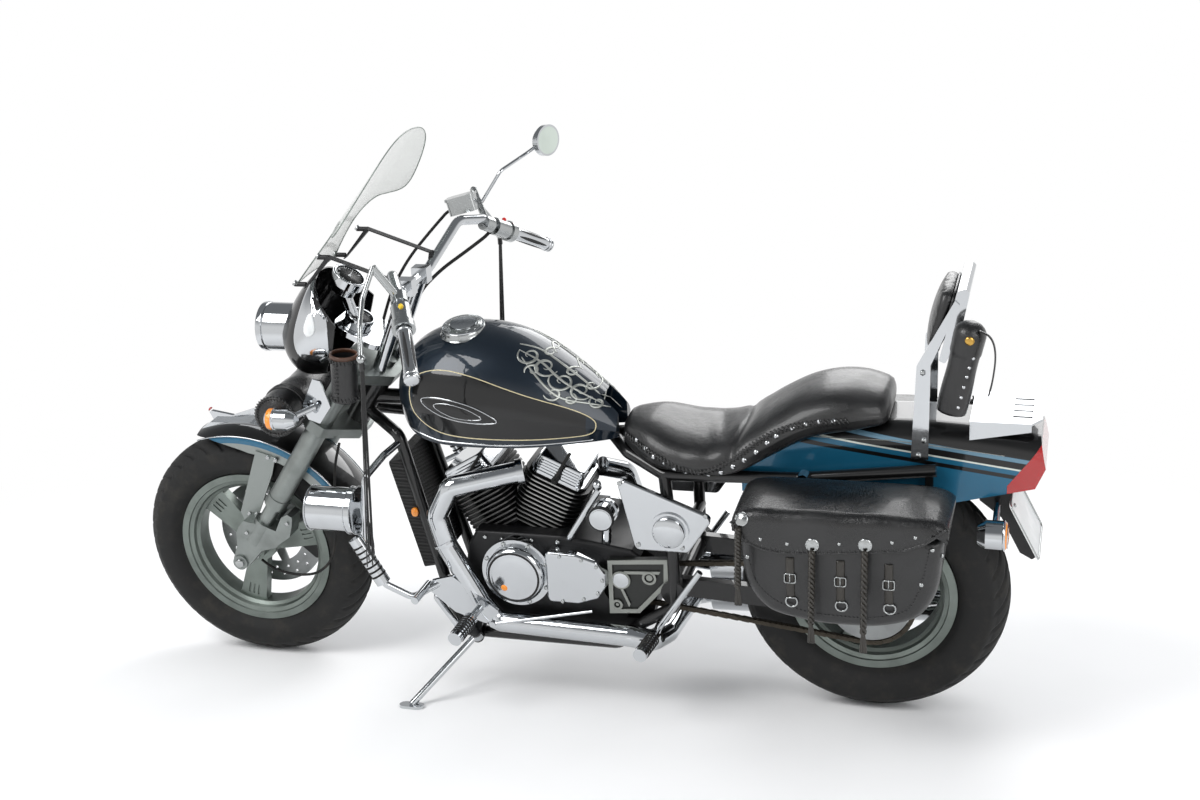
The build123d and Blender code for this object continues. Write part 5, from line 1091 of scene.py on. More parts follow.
class CRUISER_OT_tool_roll(bpy.types.Operator):
    """Leather tool roll with laced round ends, straps and conchos"""

    bl_idname = "cruiser.tool_roll"
    bl_label = "Tool roll"

    def execute(self, context):
        (x, z), radius, half = ROLL_CENTRE, ROLL_RADIUS, ROLL_HALF
        side = np.concatenate([[-half, -half, -half + 3], np.linspace(-half + 8, half - 8, 60), [half - 3, half, half]])
        angle = np.linspace(0, 2 * np.pi, 72, endpoint=False)[None]
        slack = 1.6 * np.sin(side[:, None] / 14 + 2 * angle) + 1.2 * np.sin(side[:, None] / 31 - angle)
        past = np.mod(angle - 2.5, 2 * np.pi)
        flap = 2.6 * smooth_step(0.0, 0.12, past / 6.28) * (past < 3.6)
        straps = 2.0 * np.exp(-((np.abs(side[:, None]) - 92) / 10.0) ** 8)
        size = radius - 4 + 0.5 * slack + flap * 0.8 - straps
        size[[0, -1]], size[[1, -2]] = 0.0, radius - 6
        grid = np.stack([x + size * np.cos(angle), side[:, None] + 0 * angle, z + size * np.sin(angle)], -1)
        roll = build("tool_roll_leather", Heap().surface(grid, False, True), "front_end", "soft_leather")
        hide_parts("tool_roll")
        bands, laces, metal_bits = Heap(), Heap(), Heap()
        for at in (-92.0, 92.0):
            ring = ring_at(ROLL_CENTRE, radius - 3.0, 64, at)
            for shift in (-7.5, 0, 7.5):
                bands.tube(ring + [0, shift, 0], 4.2, 6, True)
            metal_bits.repeat(*hexagon(8.0, 3.0), [(x - radius + 2, at, z - 4)], (-1, 0, 0))
        for hand in (-1, 1):
            rim = ring_at(ROLL_CENTRE, radius - 8, 64, hand * (half - 0.5))
            stitches(laces, np.vstack([rim, rim[:1]]), np.tile([[0.0, hand, 0.0]], (65, 1)), 8.0, 13.0, 2.3)
            laces.tube(rim, 2.6, 6, True)
            metal_bits.repeat(*dome(17, 5, 18, 4), [(x, hand * (half - 0.2), z - 2)], (0, hand, 0))
            rim_place = (x, hand * (half - 0.4), z - 2)
            metal_bits.turned([(17, 0), (20, 0), (20, 2.2), (17, 3)], rim_place, (0, hand, 0), 24)
        build("roll_straps", bands, "front_end", "leather")
        build("roll_lacing", laces, "front_end", "soft_leather")
        build("roll_conchos", metal_bits, "front_end", "chrome")
        return {"FINISHED"}


def braid(heap, line, radius, turns):
    """Three strands round a line: strand k lies at a third of a turn, on a circle squeezed into a figure."""
    line = np.asarray(line, float)
    way = unit(np.gradient(line, axis=0))
    first, second = square_to(np.tile(way.mean(0), (len(line), 1)))
    phase = np.linspace(0, 2 * np.pi * turns, len(line))[:, None]
    for strand in range(3):
        a = phase + strand * 2 * np.pi / 3
        heap.tube(line + radius * 0.75 * np.sin(a) * first + radius * 0.4 * np.sin(2 * a) * second, radius * 0.46, 6)
    return heap


class CRUISER_OT_cup(bpy.types.Operator):
    """Leather cup with a brown laced rim beside the fork"""

    bl_idname = "cruiser.cup"
    bl_label = "Leather cup"

    def execute(self, context):
        low, high = np.array([382.0, -178, 820]), np.array([392.0, -178, 940])
        axis, tall = unit(high - low), np.linalg.norm(high - low)
        heights = np.linspace(0, tall, 26)
        outer = [(0.0, 0.0), (28.0, 0.0)] + [(33.6 - 1.2 * math.sin(h / tall * math.pi), h + 1) for h in heights[:-1]]
        inner = [(33.2, tall), (30.6, tall)] + [(30.2, h) for h in heights[-2:0:-1]] + [(0.0, 4.0)]
        cup = build("cup_leather", Heap().turned(outer + inner, low, axis, 48), "front_end", "leather")
        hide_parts("leather_cup")
        rim, laces = Heap(), Heap()
        rim.turned([(30.0, -8), (34.4, -8), (34.6, 0), (33.5, 1.6), (30.6, 1.6), (30.0, 0), (30.0, -8)], high, axis, 48)
        out = around(axis, np.linspace(0, 2 * np.pi, 60))
        for up in (-14.0, 10.0 - tall):
            stitches(laces, high + axis * up + 33.8 * out, out, 9.0, 12.0, 1.9)
        seam = low + axis * np.linspace(6, tall - 12, 30)[:, None] + np.array([[-8.0, -33.0, 0.0]])
        stitches(laces, seam, np.tile([[-0.2, -1.0, 0.0]], (30, 1)), 9.0, 14.0, 2.0)
        build("cup_rim", rim, "front_end", "brown_leather")
        build("cup_lacing", laces, "front_end", "soft_leather")
        return {"FINISHED"}


BACKREST_OUT = 109.0
HOLDER_STUDS = (
    (1881, 987), (1873, 965), (1868, 944), (1862, 920), (1857, 896), (1851, 872), (1910, 1040), (1920, 1020),
)


class CRUISER_OT_bottle_holder(bpy.types.Operator):
    """Studded leather bottle holder with a buttoned flap behind the backrest"""

    bl_idname = "cruiser.bottle_holder"
    bl_label = "Bottle holder"

    def execute(self, context):
        side = -(BACKREST_OUT + 0.3 + 36)
        low, high = np.array([WHEELBASE + 189, side, 852.0]), np.array([WHEELBASE + 232, side, 1062.0])
        axis, tall = unit(high - low), np.linalg.norm(high - low)
        h = np.linspace(0, 1, 40)
        radius = 33.5 + 1.2 * np.sin(h * 9) + 2.8 * np.exp(-((h - 0.68) / 0.02) ** 2)
        closing = np.sqrt(np.clip(1 - (np.maximum(h - 0.86, 0) / 0.145) ** 2, 0, 1))
        radius = np.where(h > 0.7, radius + 1.5, radius) * closing
        profile = [(0.0, 0.0), (30.0, 0.0)] + [(r, t * tall) for r, t in zip(radius, h)] + [(0.0, tall)]
        holder = build("holder_leather", Heap().turned(profile, low, axis, 48), "chassis", "leather")
        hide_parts("bottle_holder")
        tree = skin(holder)
        studs = Heap().repeat(*dome(4.2, 3.0), *lay_side(tree, HOLDER_STUDS, -1, 0.1, 400.0))
        build("holder_studs", studs, "chassis", "chrome")
        button = Heap().repeat(*dome(10.5, 4.5, 18, 4), *lay_side(tree, [(1873.0, 1030.0)], -1, 0.2, 400.0))
        build("holder_button", button, "chassis", "brass")
        line = np.array([(1893.0, -28, 1052), (1920, -33, 1040), (1930, -34, 1000), (1924, -36, 940), (1916, -34, 905)])
        strap = Heap().tube(even(soften(line + [0, side, 0]), 40), 7.0, 10, False, 0.3, (1, 0, 0.3))
        build("holder_strap", strap, "chassis", "leather")
        return {"FINISHED"}


BAG_FRONT, BAG_REAR = WHEELBASE - 260, WHEELBASE + 195
BAG_IN, BAG_OUT, BAG_LOW, BAG_TOP, LID_TOP = 185.0, 365.0, 398.0, 640.0, 684.0
FLAP_EDGE = np.array([
    (1377, 650), (1386, 628), (1405, 606), (1443, 590), (1483, 583), (1572, 588), (1660, 597), (1747, 606), (1800, 628),
    (1838, 660), (1848, 668),
], float)

BUCKLE_EDGE = ((-12.5, -9), (-10, -11), (10, -11), (12.5, -9), (12.5, 9), (10, 11), (-10, 11), (-12.5, 9))
CONCHOS = ((1556.0, 612), (1672, 620), (1399, 660))
TASSELS = ((1556.0, 600.0, 432.0), (1672.0, 608.0, 420.0), (1392.0, 644.0, 510.0))


def bag_heap(hand):
    """The bag's outline seen from the side, swollen outwards, with soft dents between the corners."""
    corners = np.array([
        (BAG_FRONT + 3, BAG_TOP - 2), (BAG_FRONT + 2, 560), (BAG_FRONT + 20, 470), (BAG_FRONT + 88, BAG_LOW + 3),
        (BAG_REAR - 84, BAG_LOW + 3), (BAG_REAR - 14, 478), (BAG_REAR - 2, 600), (BAG_REAR - 3, BAG_TOP - 2),
    ], float)
    outline = even(soften(corners, True, 3), 120, True)
    heap = Heap().pillow(outline, BAG_IN + 1, BAG_OUT - 5, 26, 0, 7, side_view)
    points = heap.points[0]
    outer = smooth_step(BAG_OUT - 60, BAG_OUT - 8, points[:, 1])
    dents = 2.2 * np.sin(points[:, 0] / 47 + 1.3) * np.sin(points[:, 2] / 39)
    dents += 1.2 * np.sin(points[:, 0] / 19 + points[:, 2] / 31)
    points[:, 1] += outer * dents
    points[:, 1] *= hand
    return heap


def lid_heap(hand):
    """A leather lid: across each station the surface runs from the hinge over the crowned top, round the
    brow and down the outer side to the flap's edge; both ends turn down to the bag."""
    x = np.linspace(BAG_FRONT - 8, BAG_REAR + 8, 96)
    end = np.minimum(x - x[0], x[-1] - x)
    droop = 22 * np.exp(-end / 22.0)
    edge_z = np.interp(x, FLAP_EDGE[:, 0], FLAP_EDGE[:, 1])
    v = np.linspace(0, 1, 60)[None]
    outer = BAG_OUT + 7.5
    top = LID_TOP - droop[:, None]
    across_top = np.clip(v / 0.5, 0, 1)
    brow = np.clip((v - 0.5) / 0.16, 0, 1) * np.pi / 2
    fall = np.clip((v - 0.66) / 0.34, 0, 1)
    reach = BAG_IN - 1 + (outer - 26 - BAG_IN + 1) * across_top + 26 * np.sin(brow)
    crown = 3.0 * np.sin(np.pi * across_top) * (v < 0.5)
    height = top - 3 + crown - 26 * (1 - np.cos(brow)) - (top - 29 - edge_z[:, None]) * fall
    folds = 1.1 * np.sin(x[:, None] / 21 + 5 * v) * smooth_step(0.1, 0.4, v) * (1 - smooth_step(0.8, 1.0, v))
    dip = -3.0 * np.exp(-((x[:, None] - 1560) / 60.0) ** 2) * np.sin(np.pi * across_top)
    belly = 1.5 * np.sin(np.pi * fall)
    return np.stack([x[:, None] + 0 * v, hand * (reach + belly + 0 * x[:, None]), height + folds + dip], -1)


class CRUISER_OT_bags(bpy.types.Operator):
    """Leather saddlebags with laced lids, straps, buckles, conchos and braided tassels"""

    bl_idname = "cruiser.bags"
    bl_label = "Saddlebags"

    def execute(self, context):
        sizes = context.scene.cruiser_sizes
        for hand, name in ((-1, "left"), (1, "right")):
            bag = build(name + "_bag_leather", bag_heap(hand), "chassis", "leather")
            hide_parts(name + "_saddlebag")
            grid = lid_heap(hand)
            shell = Heap().surface(grid)
            for column in (grid[0], grid[-1]):
                hem = np.column_stack([column[:, :2], np.minimum(column[:, 2], BAG_TOP + 4)])
                shell.surface(np.stack([column, hem]))
            lid = build(name + "_lid_leather", shell, name + "_lid", "soft_leather", wall=5.0)
            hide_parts(name + "_bag_lid")
            facing = np.tile([[0.0, float(hand), 0.0]], (len(grid), 1))
            edge = grid[:, -1] + [0, hand * 2.2, 3.0]
            laces = Heap()
            stitches(laces, edge + [0, 0, 3.5], facing, 10.0, 13.0, 1000 * sizes.lace)
            laces.tube(edge, 2.8, 8)
            build(name + "_flap_lacing", laces, name + "_lid", "soft_leather")
            self.metalwork(hand, name, skin(lid), skin(bag))
        return {"FINISHED"}

    def metalwork(self, hand, name, lid_skin, bag_skin):
        """Conchos and studs on the flap; straps, buckles and rings on the bag; tassels from the conchos."""
        conchos = Heap()
        profile = [(0, 5.5), (6, 5.2), (10, 3.6), (14, 3.0), (16.5, 1.0), (16.5, 0), (0, 0)]
        for place, normal in zip(*lay_side(lid_skin, CONCHOS, hand, 2.4)):
            conchos.turned(profile, place, normal, 20)
            beads = np.insert(13.4 * circle(10), 1, 0.0, axis=1)
            conchos.repeat(*dome(2.2, 1.8, 6, 2), place + beads + normal * 2.4, normal)
        spots = [(x, float(np.interp(x, *FLAP_EDGE.T)) + 26) for x in (1440.0, 1500.0, 1615.0, 1730.0, 1780.0)]
        conchos.repeat(*dome(4.6, 3.2), *lay_side(lid_skin, spots, hand, 2.4))
        build(name + "_conchos", conchos, name + "_lid", "dull_chrome")

        straps, buckles = Heap(), Heap()
        frame_line = even(np.array(BUCKLE_EDGE, float), 24, True)
        arc = np.linspace(0.75 * np.pi, 2.25 * np.pi, 22)
        for x in (1504.0, 1616.0, 1722.0):
            line = even(np.array([(x, z) for z in (572.0, 540.0, 500.0, 470.0)]), 16)
            straps.tube(lay_side(bag_skin, line, hand, 1.2)[0], 9.5, 10, False, 0.2, (0, 1, 0))
            middle = lay_side(bag_skin, [(x, 522.0)], hand, 3.5)[0][0]
            buckles.tube(middle + np.insert(frame_line, 1, 0.0, axis=1), 1.7, 6, True)
            buckles.tube(middle + np.array([(0, hand * 1.0, -11), (0, hand * 2.0, 0), (0, hand * 1.0, 12)]), 1.4, 6)
            middle = lay_side(bag_skin, [(x + 2, 462.0)], hand, 4.0)[0][0]
            ring = middle + np.column_stack([13 * np.cos(arc), np.zeros(22), 13 * np.sin(arc)])
            buckles.tube(ring, 2.1, 8)
            buckles.tube(np.array([ring[0], (ring[0] + ring[-1]) / 2, ring[-1]]), 2.1, 8)
        rivets = [(1835.0, 591), (1792, 524), (1835, 640), (1405, 560)]
        buckles.repeat(*dome(5.5, 3.6, 10, 3), *lay_side(bag_skin, rivets, hand, 0.1))
        build(name + "_straps", straps, "chassis", "strap_leather")
        build(name + "_buckles", buckles, "chassis", "dull_chrome")

        inset = [(1812.0, 640), (1806, 590), (1788, 500), (1745, 432), (1500, 432), (1425, 490), (1408, 560)]
        places, normals = lay_side(bag_skin, even(soften(inset), 120), hand, 0.4)
        seam = stitches(Heap(), places, normals, 9.0, 6.0, 1.2, 2.5)
        build(name + "_seam", seam, "chassis", "soft_leather")

        for index, (x, top, low) in enumerate(TASSELS):
            heights = np.array([top, (top + low) / 2, low])
            outward = (top - heights) * math.tan(LEAN) * (hand < 0)
            places = route(np.column_stack([np.full(3, x), hand * (BAG_OUT + 17.0 + outward), heights]), 30)
            tassel, end = braid(Heap(), places, 9.5, 5), places[-1]
            for k in range(5):
                swing = np.array([2.4 * (k - 2), hand * (k % 2), 0])
                strand = np.array([end + swing * 0.4, end + swing + [0, 0, -22], end + swing * 1.3 + [0, 0, -46]])
                tassel.tube(even(soften(strand), 10), 2.6, 6, False, 0.7)
            hung = build(f"{name}_tassel_{index + 1}", tassel, name + "_lid", "strap_leather")


# ---------------------------------------------------------------------------------------------
# Front end
# ---------------------------------------------------------------------------------------------
GRIP_IN, GRIP_END = np.array([641.0, 372, 1090]), np.array([701.0, 495, 1018])
MIRROR_CENTRE = (728.0, 470, 1309)


def grip_point(share, hand):
    """A point on the grip's line, 0 at its inner end and 1 at the bar's end."""
    return (GRIP_IN + (GRIP_END - GRIP_IN) * share) * [1, hand, 1]


class CRUISER_OT_bar(bpy.types.Operator):
    """Grip inlays and caps, switches, fringes and the mirror's glass"""

    bl_idname = "cruiser.bar"
    bl_label = "Handlebar trims"

    def execute(self, context):
        bands, caps, switches = Heap(), Heap(), Heap()
        for hand in (-1, 1):
            axis = unit(grip_point(1, hand) - grip_point(0, hand))
            inlay = grip_point(np.linspace(0.22, 0.92, 26)[:, None], hand)
            width = 4.6 * np.sin(np.linspace(0.12, np.pi - 0.12, 26)) ** 0.6
            for out in around(axis, np.linspace(0, 2 * np.pi, 6, endpoint=False)):
                bands.tube(inlay + out * 16.9, width, 10, False, 0.2, out)
            for share in (0.14, 1.0):
                caps.turned([(16.8, -3), (18.6, -2), (18.6, 2), (16.8, 3)], grip_point(share, hand), axis, 36)
            caps.turned([(17.0, 0), (18.4, 1), (18.4, 6), (14, 9), (0, 10)], grip_point(1.05, hand), axis, 32)
            for share, size, turn in ((-0.12, 4.5, 2.2), (-0.2, 4.0, 1.4), (-0.28, 4.5, 2.6)):
                out = around(axis, turn)
                switches.repeat(*dome(size, 5.0, 10, 3), [grip_point(share, hand) + out * 22.6], [out])
        build("grip_bands", bands, "front_end", "plastic")
        build("grip_caps", caps, "front_end", "chrome")
        build("switch_buttons", switches, "front_end", "plastic")
        knobs = (("horn_switch", -1, -0.24, "yellow"), ("stop_switch", 1, -0.16, "red_switch"))
        for name, hand, share, finish in knobs:
            axis = unit(grip_point(1, hand) - grip_point(0, hand))
            out = unit(np.cross(np.cross(axis, [0, 0, 1.0]), axis))
            knob = Heap().repeat(*dome(6.5, 8.0, 12, 4), [grip_point(share, hand) + out * 22.5], [out])
            build(name, knob, "front_end", finish)
        self.fringes(context.scene.cruiser_sizes.strand)
        normal, first = unit([0.97, -0.25, 0.1]), unit([0.25, 0.97, 0.0])
        second = np.cross(normal, first)
        turn = circle(48)[None]
        size, rise = np.array([(0.0, 12.6), (0.5, 12.4), (0.86, 12.2), (0.9, 11.8)]).T[..., None, None]
        oval = 54 * turn[..., :1] * first + 40 * turn[..., 1:] * second
        glass = Heap().surface(MIRROR_CENTRE + size * oval + rise * normal, False, True)
        build("mirror_glass", glass, "front_end", "mirror")
        return {"FINISHED"}

    def fringes(self, width):
        """Narrow strips that hang from the ball of each lever."""
        for hand, name in ((-1, "left"), (1, "right")):
            start = np.array([578.0, hand * 478.0, 1034.0])
            knot = Heap().tube(even(np.array([start + [0, 0, 9], start + [0, 0, -14]]), 8), 6.5, 10)
            build(name + "_fringe_knot", knot, "front_end", "soft_leather")
            for k in range(5):
                top = row(start + [1.1 * (k - 2), 1.54 * (k - 2), -12.0])
                drop = 0.455 - 0.014 * (k % 3)
                points = top + np.arange(5)[:, None] * [0.0006 * (k - 2), 0.0005 * (k % 2), -drop / 4]
                curve = spline(f"{name}_fringe_{k + 1}", points)
                curve.bevel_depth, curve.bevel_resolution, curve.use_fill_caps = width / 2, 1, True
                curve.materials.append(finishes()["leather"])
                strand = mount(bpy.data.objects.new(curve.name, curve), "front_end")


LEAF = ((273, 1100), (329, 1037), (331, 933), (303, 879), (236, 884), (222, 942), (249, 1022))
# The white spear in the middle of each chrome leaf: a painted reflection of the sky, built as a matt white piece
LEAF_SKY_REFLECTION = ((286, 1030), (302, 974), (275, 952), (259, 972))


def leaf_grid(tree, outline, hand, lift, crown):
    """Rings from the outline in to its centre, dropped onto a skin and lifted, more towards the middle."""
    shape = even(soften(outline, True, 2), 64, True)
    centre = shape.mean(0)
    layers = []
    for share in (1.0, 0.97, 0.85, 0.6, 0.3, 0.0):
        places, normals = lay_side(tree, centre + share * (shape - centre), hand, 0.0, 300.0)
        rise = lift * min(1.0, (1 - share) / 0.03) + crown * (1 - share ** 2) + 0.3
        layers.append(places + normals * rise)
    return np.stack(layers)


SCREEN_HALF_EDGE = (
    (0, 1125), (60, 1120), (112, 1106), (158, 1077), (192, 1036), (219, 985), (234, 940), (222, 921), (170, 926),
    (115, 934), (76, 918), (64, 884), (84, 830), (118, 764), (60, 762), (0, 762),
)


class CRUISER_OT_windscreen(bpy.types.Operator):
    """Clear screen: an outline with round shoulders, bent about an upright bow and leaned back, 4 mm thick"""

    bl_idname = "cruiser.windscreen"
    bl_label = "Windscreen"

    def execute(self, context):
        half = np.array(SCREEN_HALF_EDGE, float)
        outline = np.vstack([half, (half * [-1, 1])[-2:0:-1]])
        outline = even(soften(outline, True, 2), 240, True)
        centre = np.array([0.0, 960.0])
        shares = np.array([0.0, 0.2, 0.4, 0.6, 0.8, 0.93, 0.985, 1.0])

        def sheet(shape, out):
            """x follows the bow: 222 + 56 (y / 248)^2, plus the lean's share of the height above z 1060."""
            y, z = shape[..., 0], shape[..., 1] + FRONT_AXLE_Z
            x = 222 + 56 * (y / 248) ** 2 + (z - 1060) * 0.64 / 0.768
            return np.stack([x - 0.77 * out, y, z + 0.64 * out], -1)

        rings = centre + shares[:, None, None] * (outline - centre)
        depth = np.array([2.0, 2.0, 2.0, 2.0, 2.0, 2.0, 1.8, 0.9])
        grid = np.vstack([
            np.stack([sheet(ring, d) for ring, d in zip(rings, depth)]),
            np.stack([sheet(ring, -d) for ring, d in zip(rings[::-1], depth[::-1])]),
        ])
        screen = build("windscreen_sheet", Heap().surface(grid, False, True), "front_end", "screen")
        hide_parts("windscreen")
        rim = Heap().tube(sheet(outline, 0.0), 1.5, 8, True)
        build("windscreen_rim", rim, "front_end", "screen_rim")
        return {"FINISHED"}


class CRUISER_OT_cowl_trims(bpy.types.Operator):
    """Bright leaf panels on the cowl, each with a white painted reflection of the sky in its middle, the lamp's rim and
    glass, the screen's bolts
    """

    bl_idname = "cruiser.cowl_trims"
    bl_label = "Cowl and lamp trims"

    def execute(self, context):
        tree = skin(frame["nodes"]["cowl"])
        leaves, inner = Heap(), Heap()
        for hand in (-1, 1):
            leaves.surface(leaf_grid(tree, LEAF, hand, 1.2, 0.4), False, True)
            # matt white pieces over the chrome leaves: a painted reflection of the sky
            inner.surface(leaf_grid(tree, LEAF_SKY_REFLECTION, hand, 3.4, 2.2), False, True)
        build("cowl_leaves", leaves, "front_end", "chrome")
        build("cowl_painted_reflections", inner, "front_end", "white")
        lamp = np.array([112.0, 0, 938])
        rim, glass = Heap(), Heap()
        rim.turned([(52, -2.0), (60, -3.5), (63.5, 0), (63.8, 8), (62.4, 12)], lamp, (-1.0, 0, 0), 64)
        rim.turned([(52, -2), (60, 1.6), (63.5, 0)], lamp, (-1.0, 0, 0), 64)
        rise = np.linspace(0, 1, 9)
        glass.turned([(56 * (1 - t), 1.0 + 9.0 * (1 - (1 - t) ** 2)) for t in rise], lamp, (-1.0, 0, 0), 64)
        build("lamp_rim", rim, "front_end", "chrome")
        build("lamp_glass", glass, "front_end", "clear_lens")
        bolts = Heap()
        for x, z in ((276.0, 1097.0), (346.0, 1167.0)):
            for hand in (-1, 1):
                bolts.repeat(*hexagon(8.5, 6.0), [(x - 15, hand * 120, z - 2)], (-0.77, 0, 0.64))
        build("screen_bolts", bolts, "front_end", "dull_chrome")
        return {"FINISHED"}


class CRUISER_OT_gauges(bpy.types.Operator):
    """Dial faces with plain ticks, needles and bezels"""

    bl_idname = "cruiser.gauges"
    bl_label = "Gauges"

    def execute(self, context):
        faces, marks, bezels = Heap(), Heap(), Heap()
        for origin, axis, size, lift in (
            (np.array([324.0, 0, 1042]), unit([0.55, 0, 0.83]), 38.0, 43.0),
            (np.array([372.0 - 24 * 0.89, 0, 934 + 24 * 0.45]), unit([0.45, 0, 0.89]), 33.0, 30.0),
        ):
            faces.turned([(0, lift + 1.0), (size, lift + 1.0), (size, lift - 1)], origin, axis, 48)
            rim = [(size - 1, lift + 4), (size + 2.5, lift + 6), (size + 5.0, lift + 3), (size + 5, lift - 6)]
            bezels.turned(rim, origin, axis, 48)
            dial = origin + axis * (lift + 1.4)
            for k, out in enumerate(around(axis, np.radians(np.arange(-120, 121, 10)))):
                inner, thick = (0.82, 0.7) if k % 4 else (0.72, 1.1)
                marks.tube(np.array([dial + out * size * inner, dial + out * size * 0.93]), thick, 5)
            middle, out = origin + axis * (lift + 2.6), around(axis, -1.4)
            marks.tube(np.array([middle - out * size * 0.12, middle + out * size * 0.8]), np.array([1.4, 0.5]), 6)
            marks.turned([(0, lift + 4.4), (3.2, lift + 4.0), (4, lift + 1)], origin, axis, 16)
        build("dial_faces", faces, "front_end", "dial")
        build("dial_marks", marks, "front_end", "white")
        build("dial_bezels", bezels, "front_end", "chrome")
        return {"FINISHED"}


class CRUISER_OT_front_trims(bpy.types.Operator):
    """Small lamps' rings, fender edge lines, bolts, axle nuts and the ornament's jewel"""

    bl_idname = "cruiser.front_trims"
    bl_label = "Front trims"

    def execute(self, context):
        amber, rings, bolts = Heap(), Heap(), Heap()
        for hand in (-1, 1):
            lamp = np.array([192.0, hand * 205, 770])
            amber.turned([(26.6, -6), (27.0, -2), (27.0, 6), (26.4, 8)], lamp, (-1.0, 0, 0), 40)
            rings.turned([(25.9, -12), (28.2, -11), (28.2, -6), (26.2, -5)], lamp, (-1.0, 0, 0), 40)
            rings.repeat(*dome(11, 7, 20, 5), [lamp + [-15.5, 0, 0]], (-1.0, 0, 0))
            for x, z in ((117.0, 600.0), (96.0, 606.0), (40.0, 440.0), (20, 440)):
                bolts.repeat(*hexagon(6.5, 4.5), [(x, hand * 81.7, z)], (0, hand, 0))
            for along in (484, 664):
                rise = along * 0.829 + 34 * 0.559
                fork = np.array([along * 0.559 - 34 * 0.829, hand * 105, FRONT_AXLE_Z + rise])
                bolts.repeat(*hexagon(6.0, 6.0), [fork + [-6, 14, 0], fork + [-6, -14, 0]], (-0.83, 0, 0.56))
            bolts.repeat(*hexagon(13.0, 8.0), [(0, hand * 134.5, FRONT_AXLE_Z)], (0, hand, 0))
            for x, z in ((150.0, 443.0), (30.0, 408.0)):
                bolts.repeat(*hexagon(6.0, 5.0), [(x, hand * 129, z)], (0, hand, 0))
        build("lamp_amber_rings", amber, "front_end", "amber")
        build("lamp_bright_rings", rings, "front_end", "chrome")
        build("front_bolts", bolts, "front_end", "dull_chrome")
        edges = Heap()
        turn = np.radians(np.linspace(-18, 60, 90))
        for hand in (-1, 1):
            arc = [337.5 * np.sin(turn), np.full(90, hand * 77.4), FRONT_AXLE_Z + 337.5 * np.cos(turn)]
            edges.tube(np.column_stack(arc), 1.7, 8)
        build("fender_lines", edges, "front_end", "chrome")
        jewel = Heap().repeat(*dome(7, 5, 14, 4), [(-96.0, 0, 698)], (-0.7, 0, 0.7))
        build("ornament_jewel", jewel, "front_end", "red")
        hubs = Heap()
        for k in range(5):
            a = math.radians(72 * k + 8)
            for side, reach, radius, size, tall in ((1, 66.0, 24, 6.0, 5.0), (-1, 56.0, 22, 5.0, 4.0)):
                place = (radius * math.cos(a), side * reach, FRONT_AXLE_Z + radius * math.sin(a))
                hubs.repeat(*hexagon(size, tall), [place], (0, side, 0))
        build("front_hub_bolts", hubs, "front_wheel", "dull_chrome")
        return {"FINISHED"}


# ---------------------------------------------------------------------------------------------
# Tank, engine and tail
# ---------------------------------------------------------------------------------------------
def spiral(centre, start, size, turns, hand, count=46):
    """A curl in the side view: the radius shrinks as the angle grows."""
    t = np.linspace(0, 1, count)
    radius = size * (1 - 0.82 * t)
    angle = start + hand * 2 * np.pi * turns * t
    return np.stack([centre[0] + radius * np.cos(angle), centre[1] + radius * np.sin(angle)], -1)


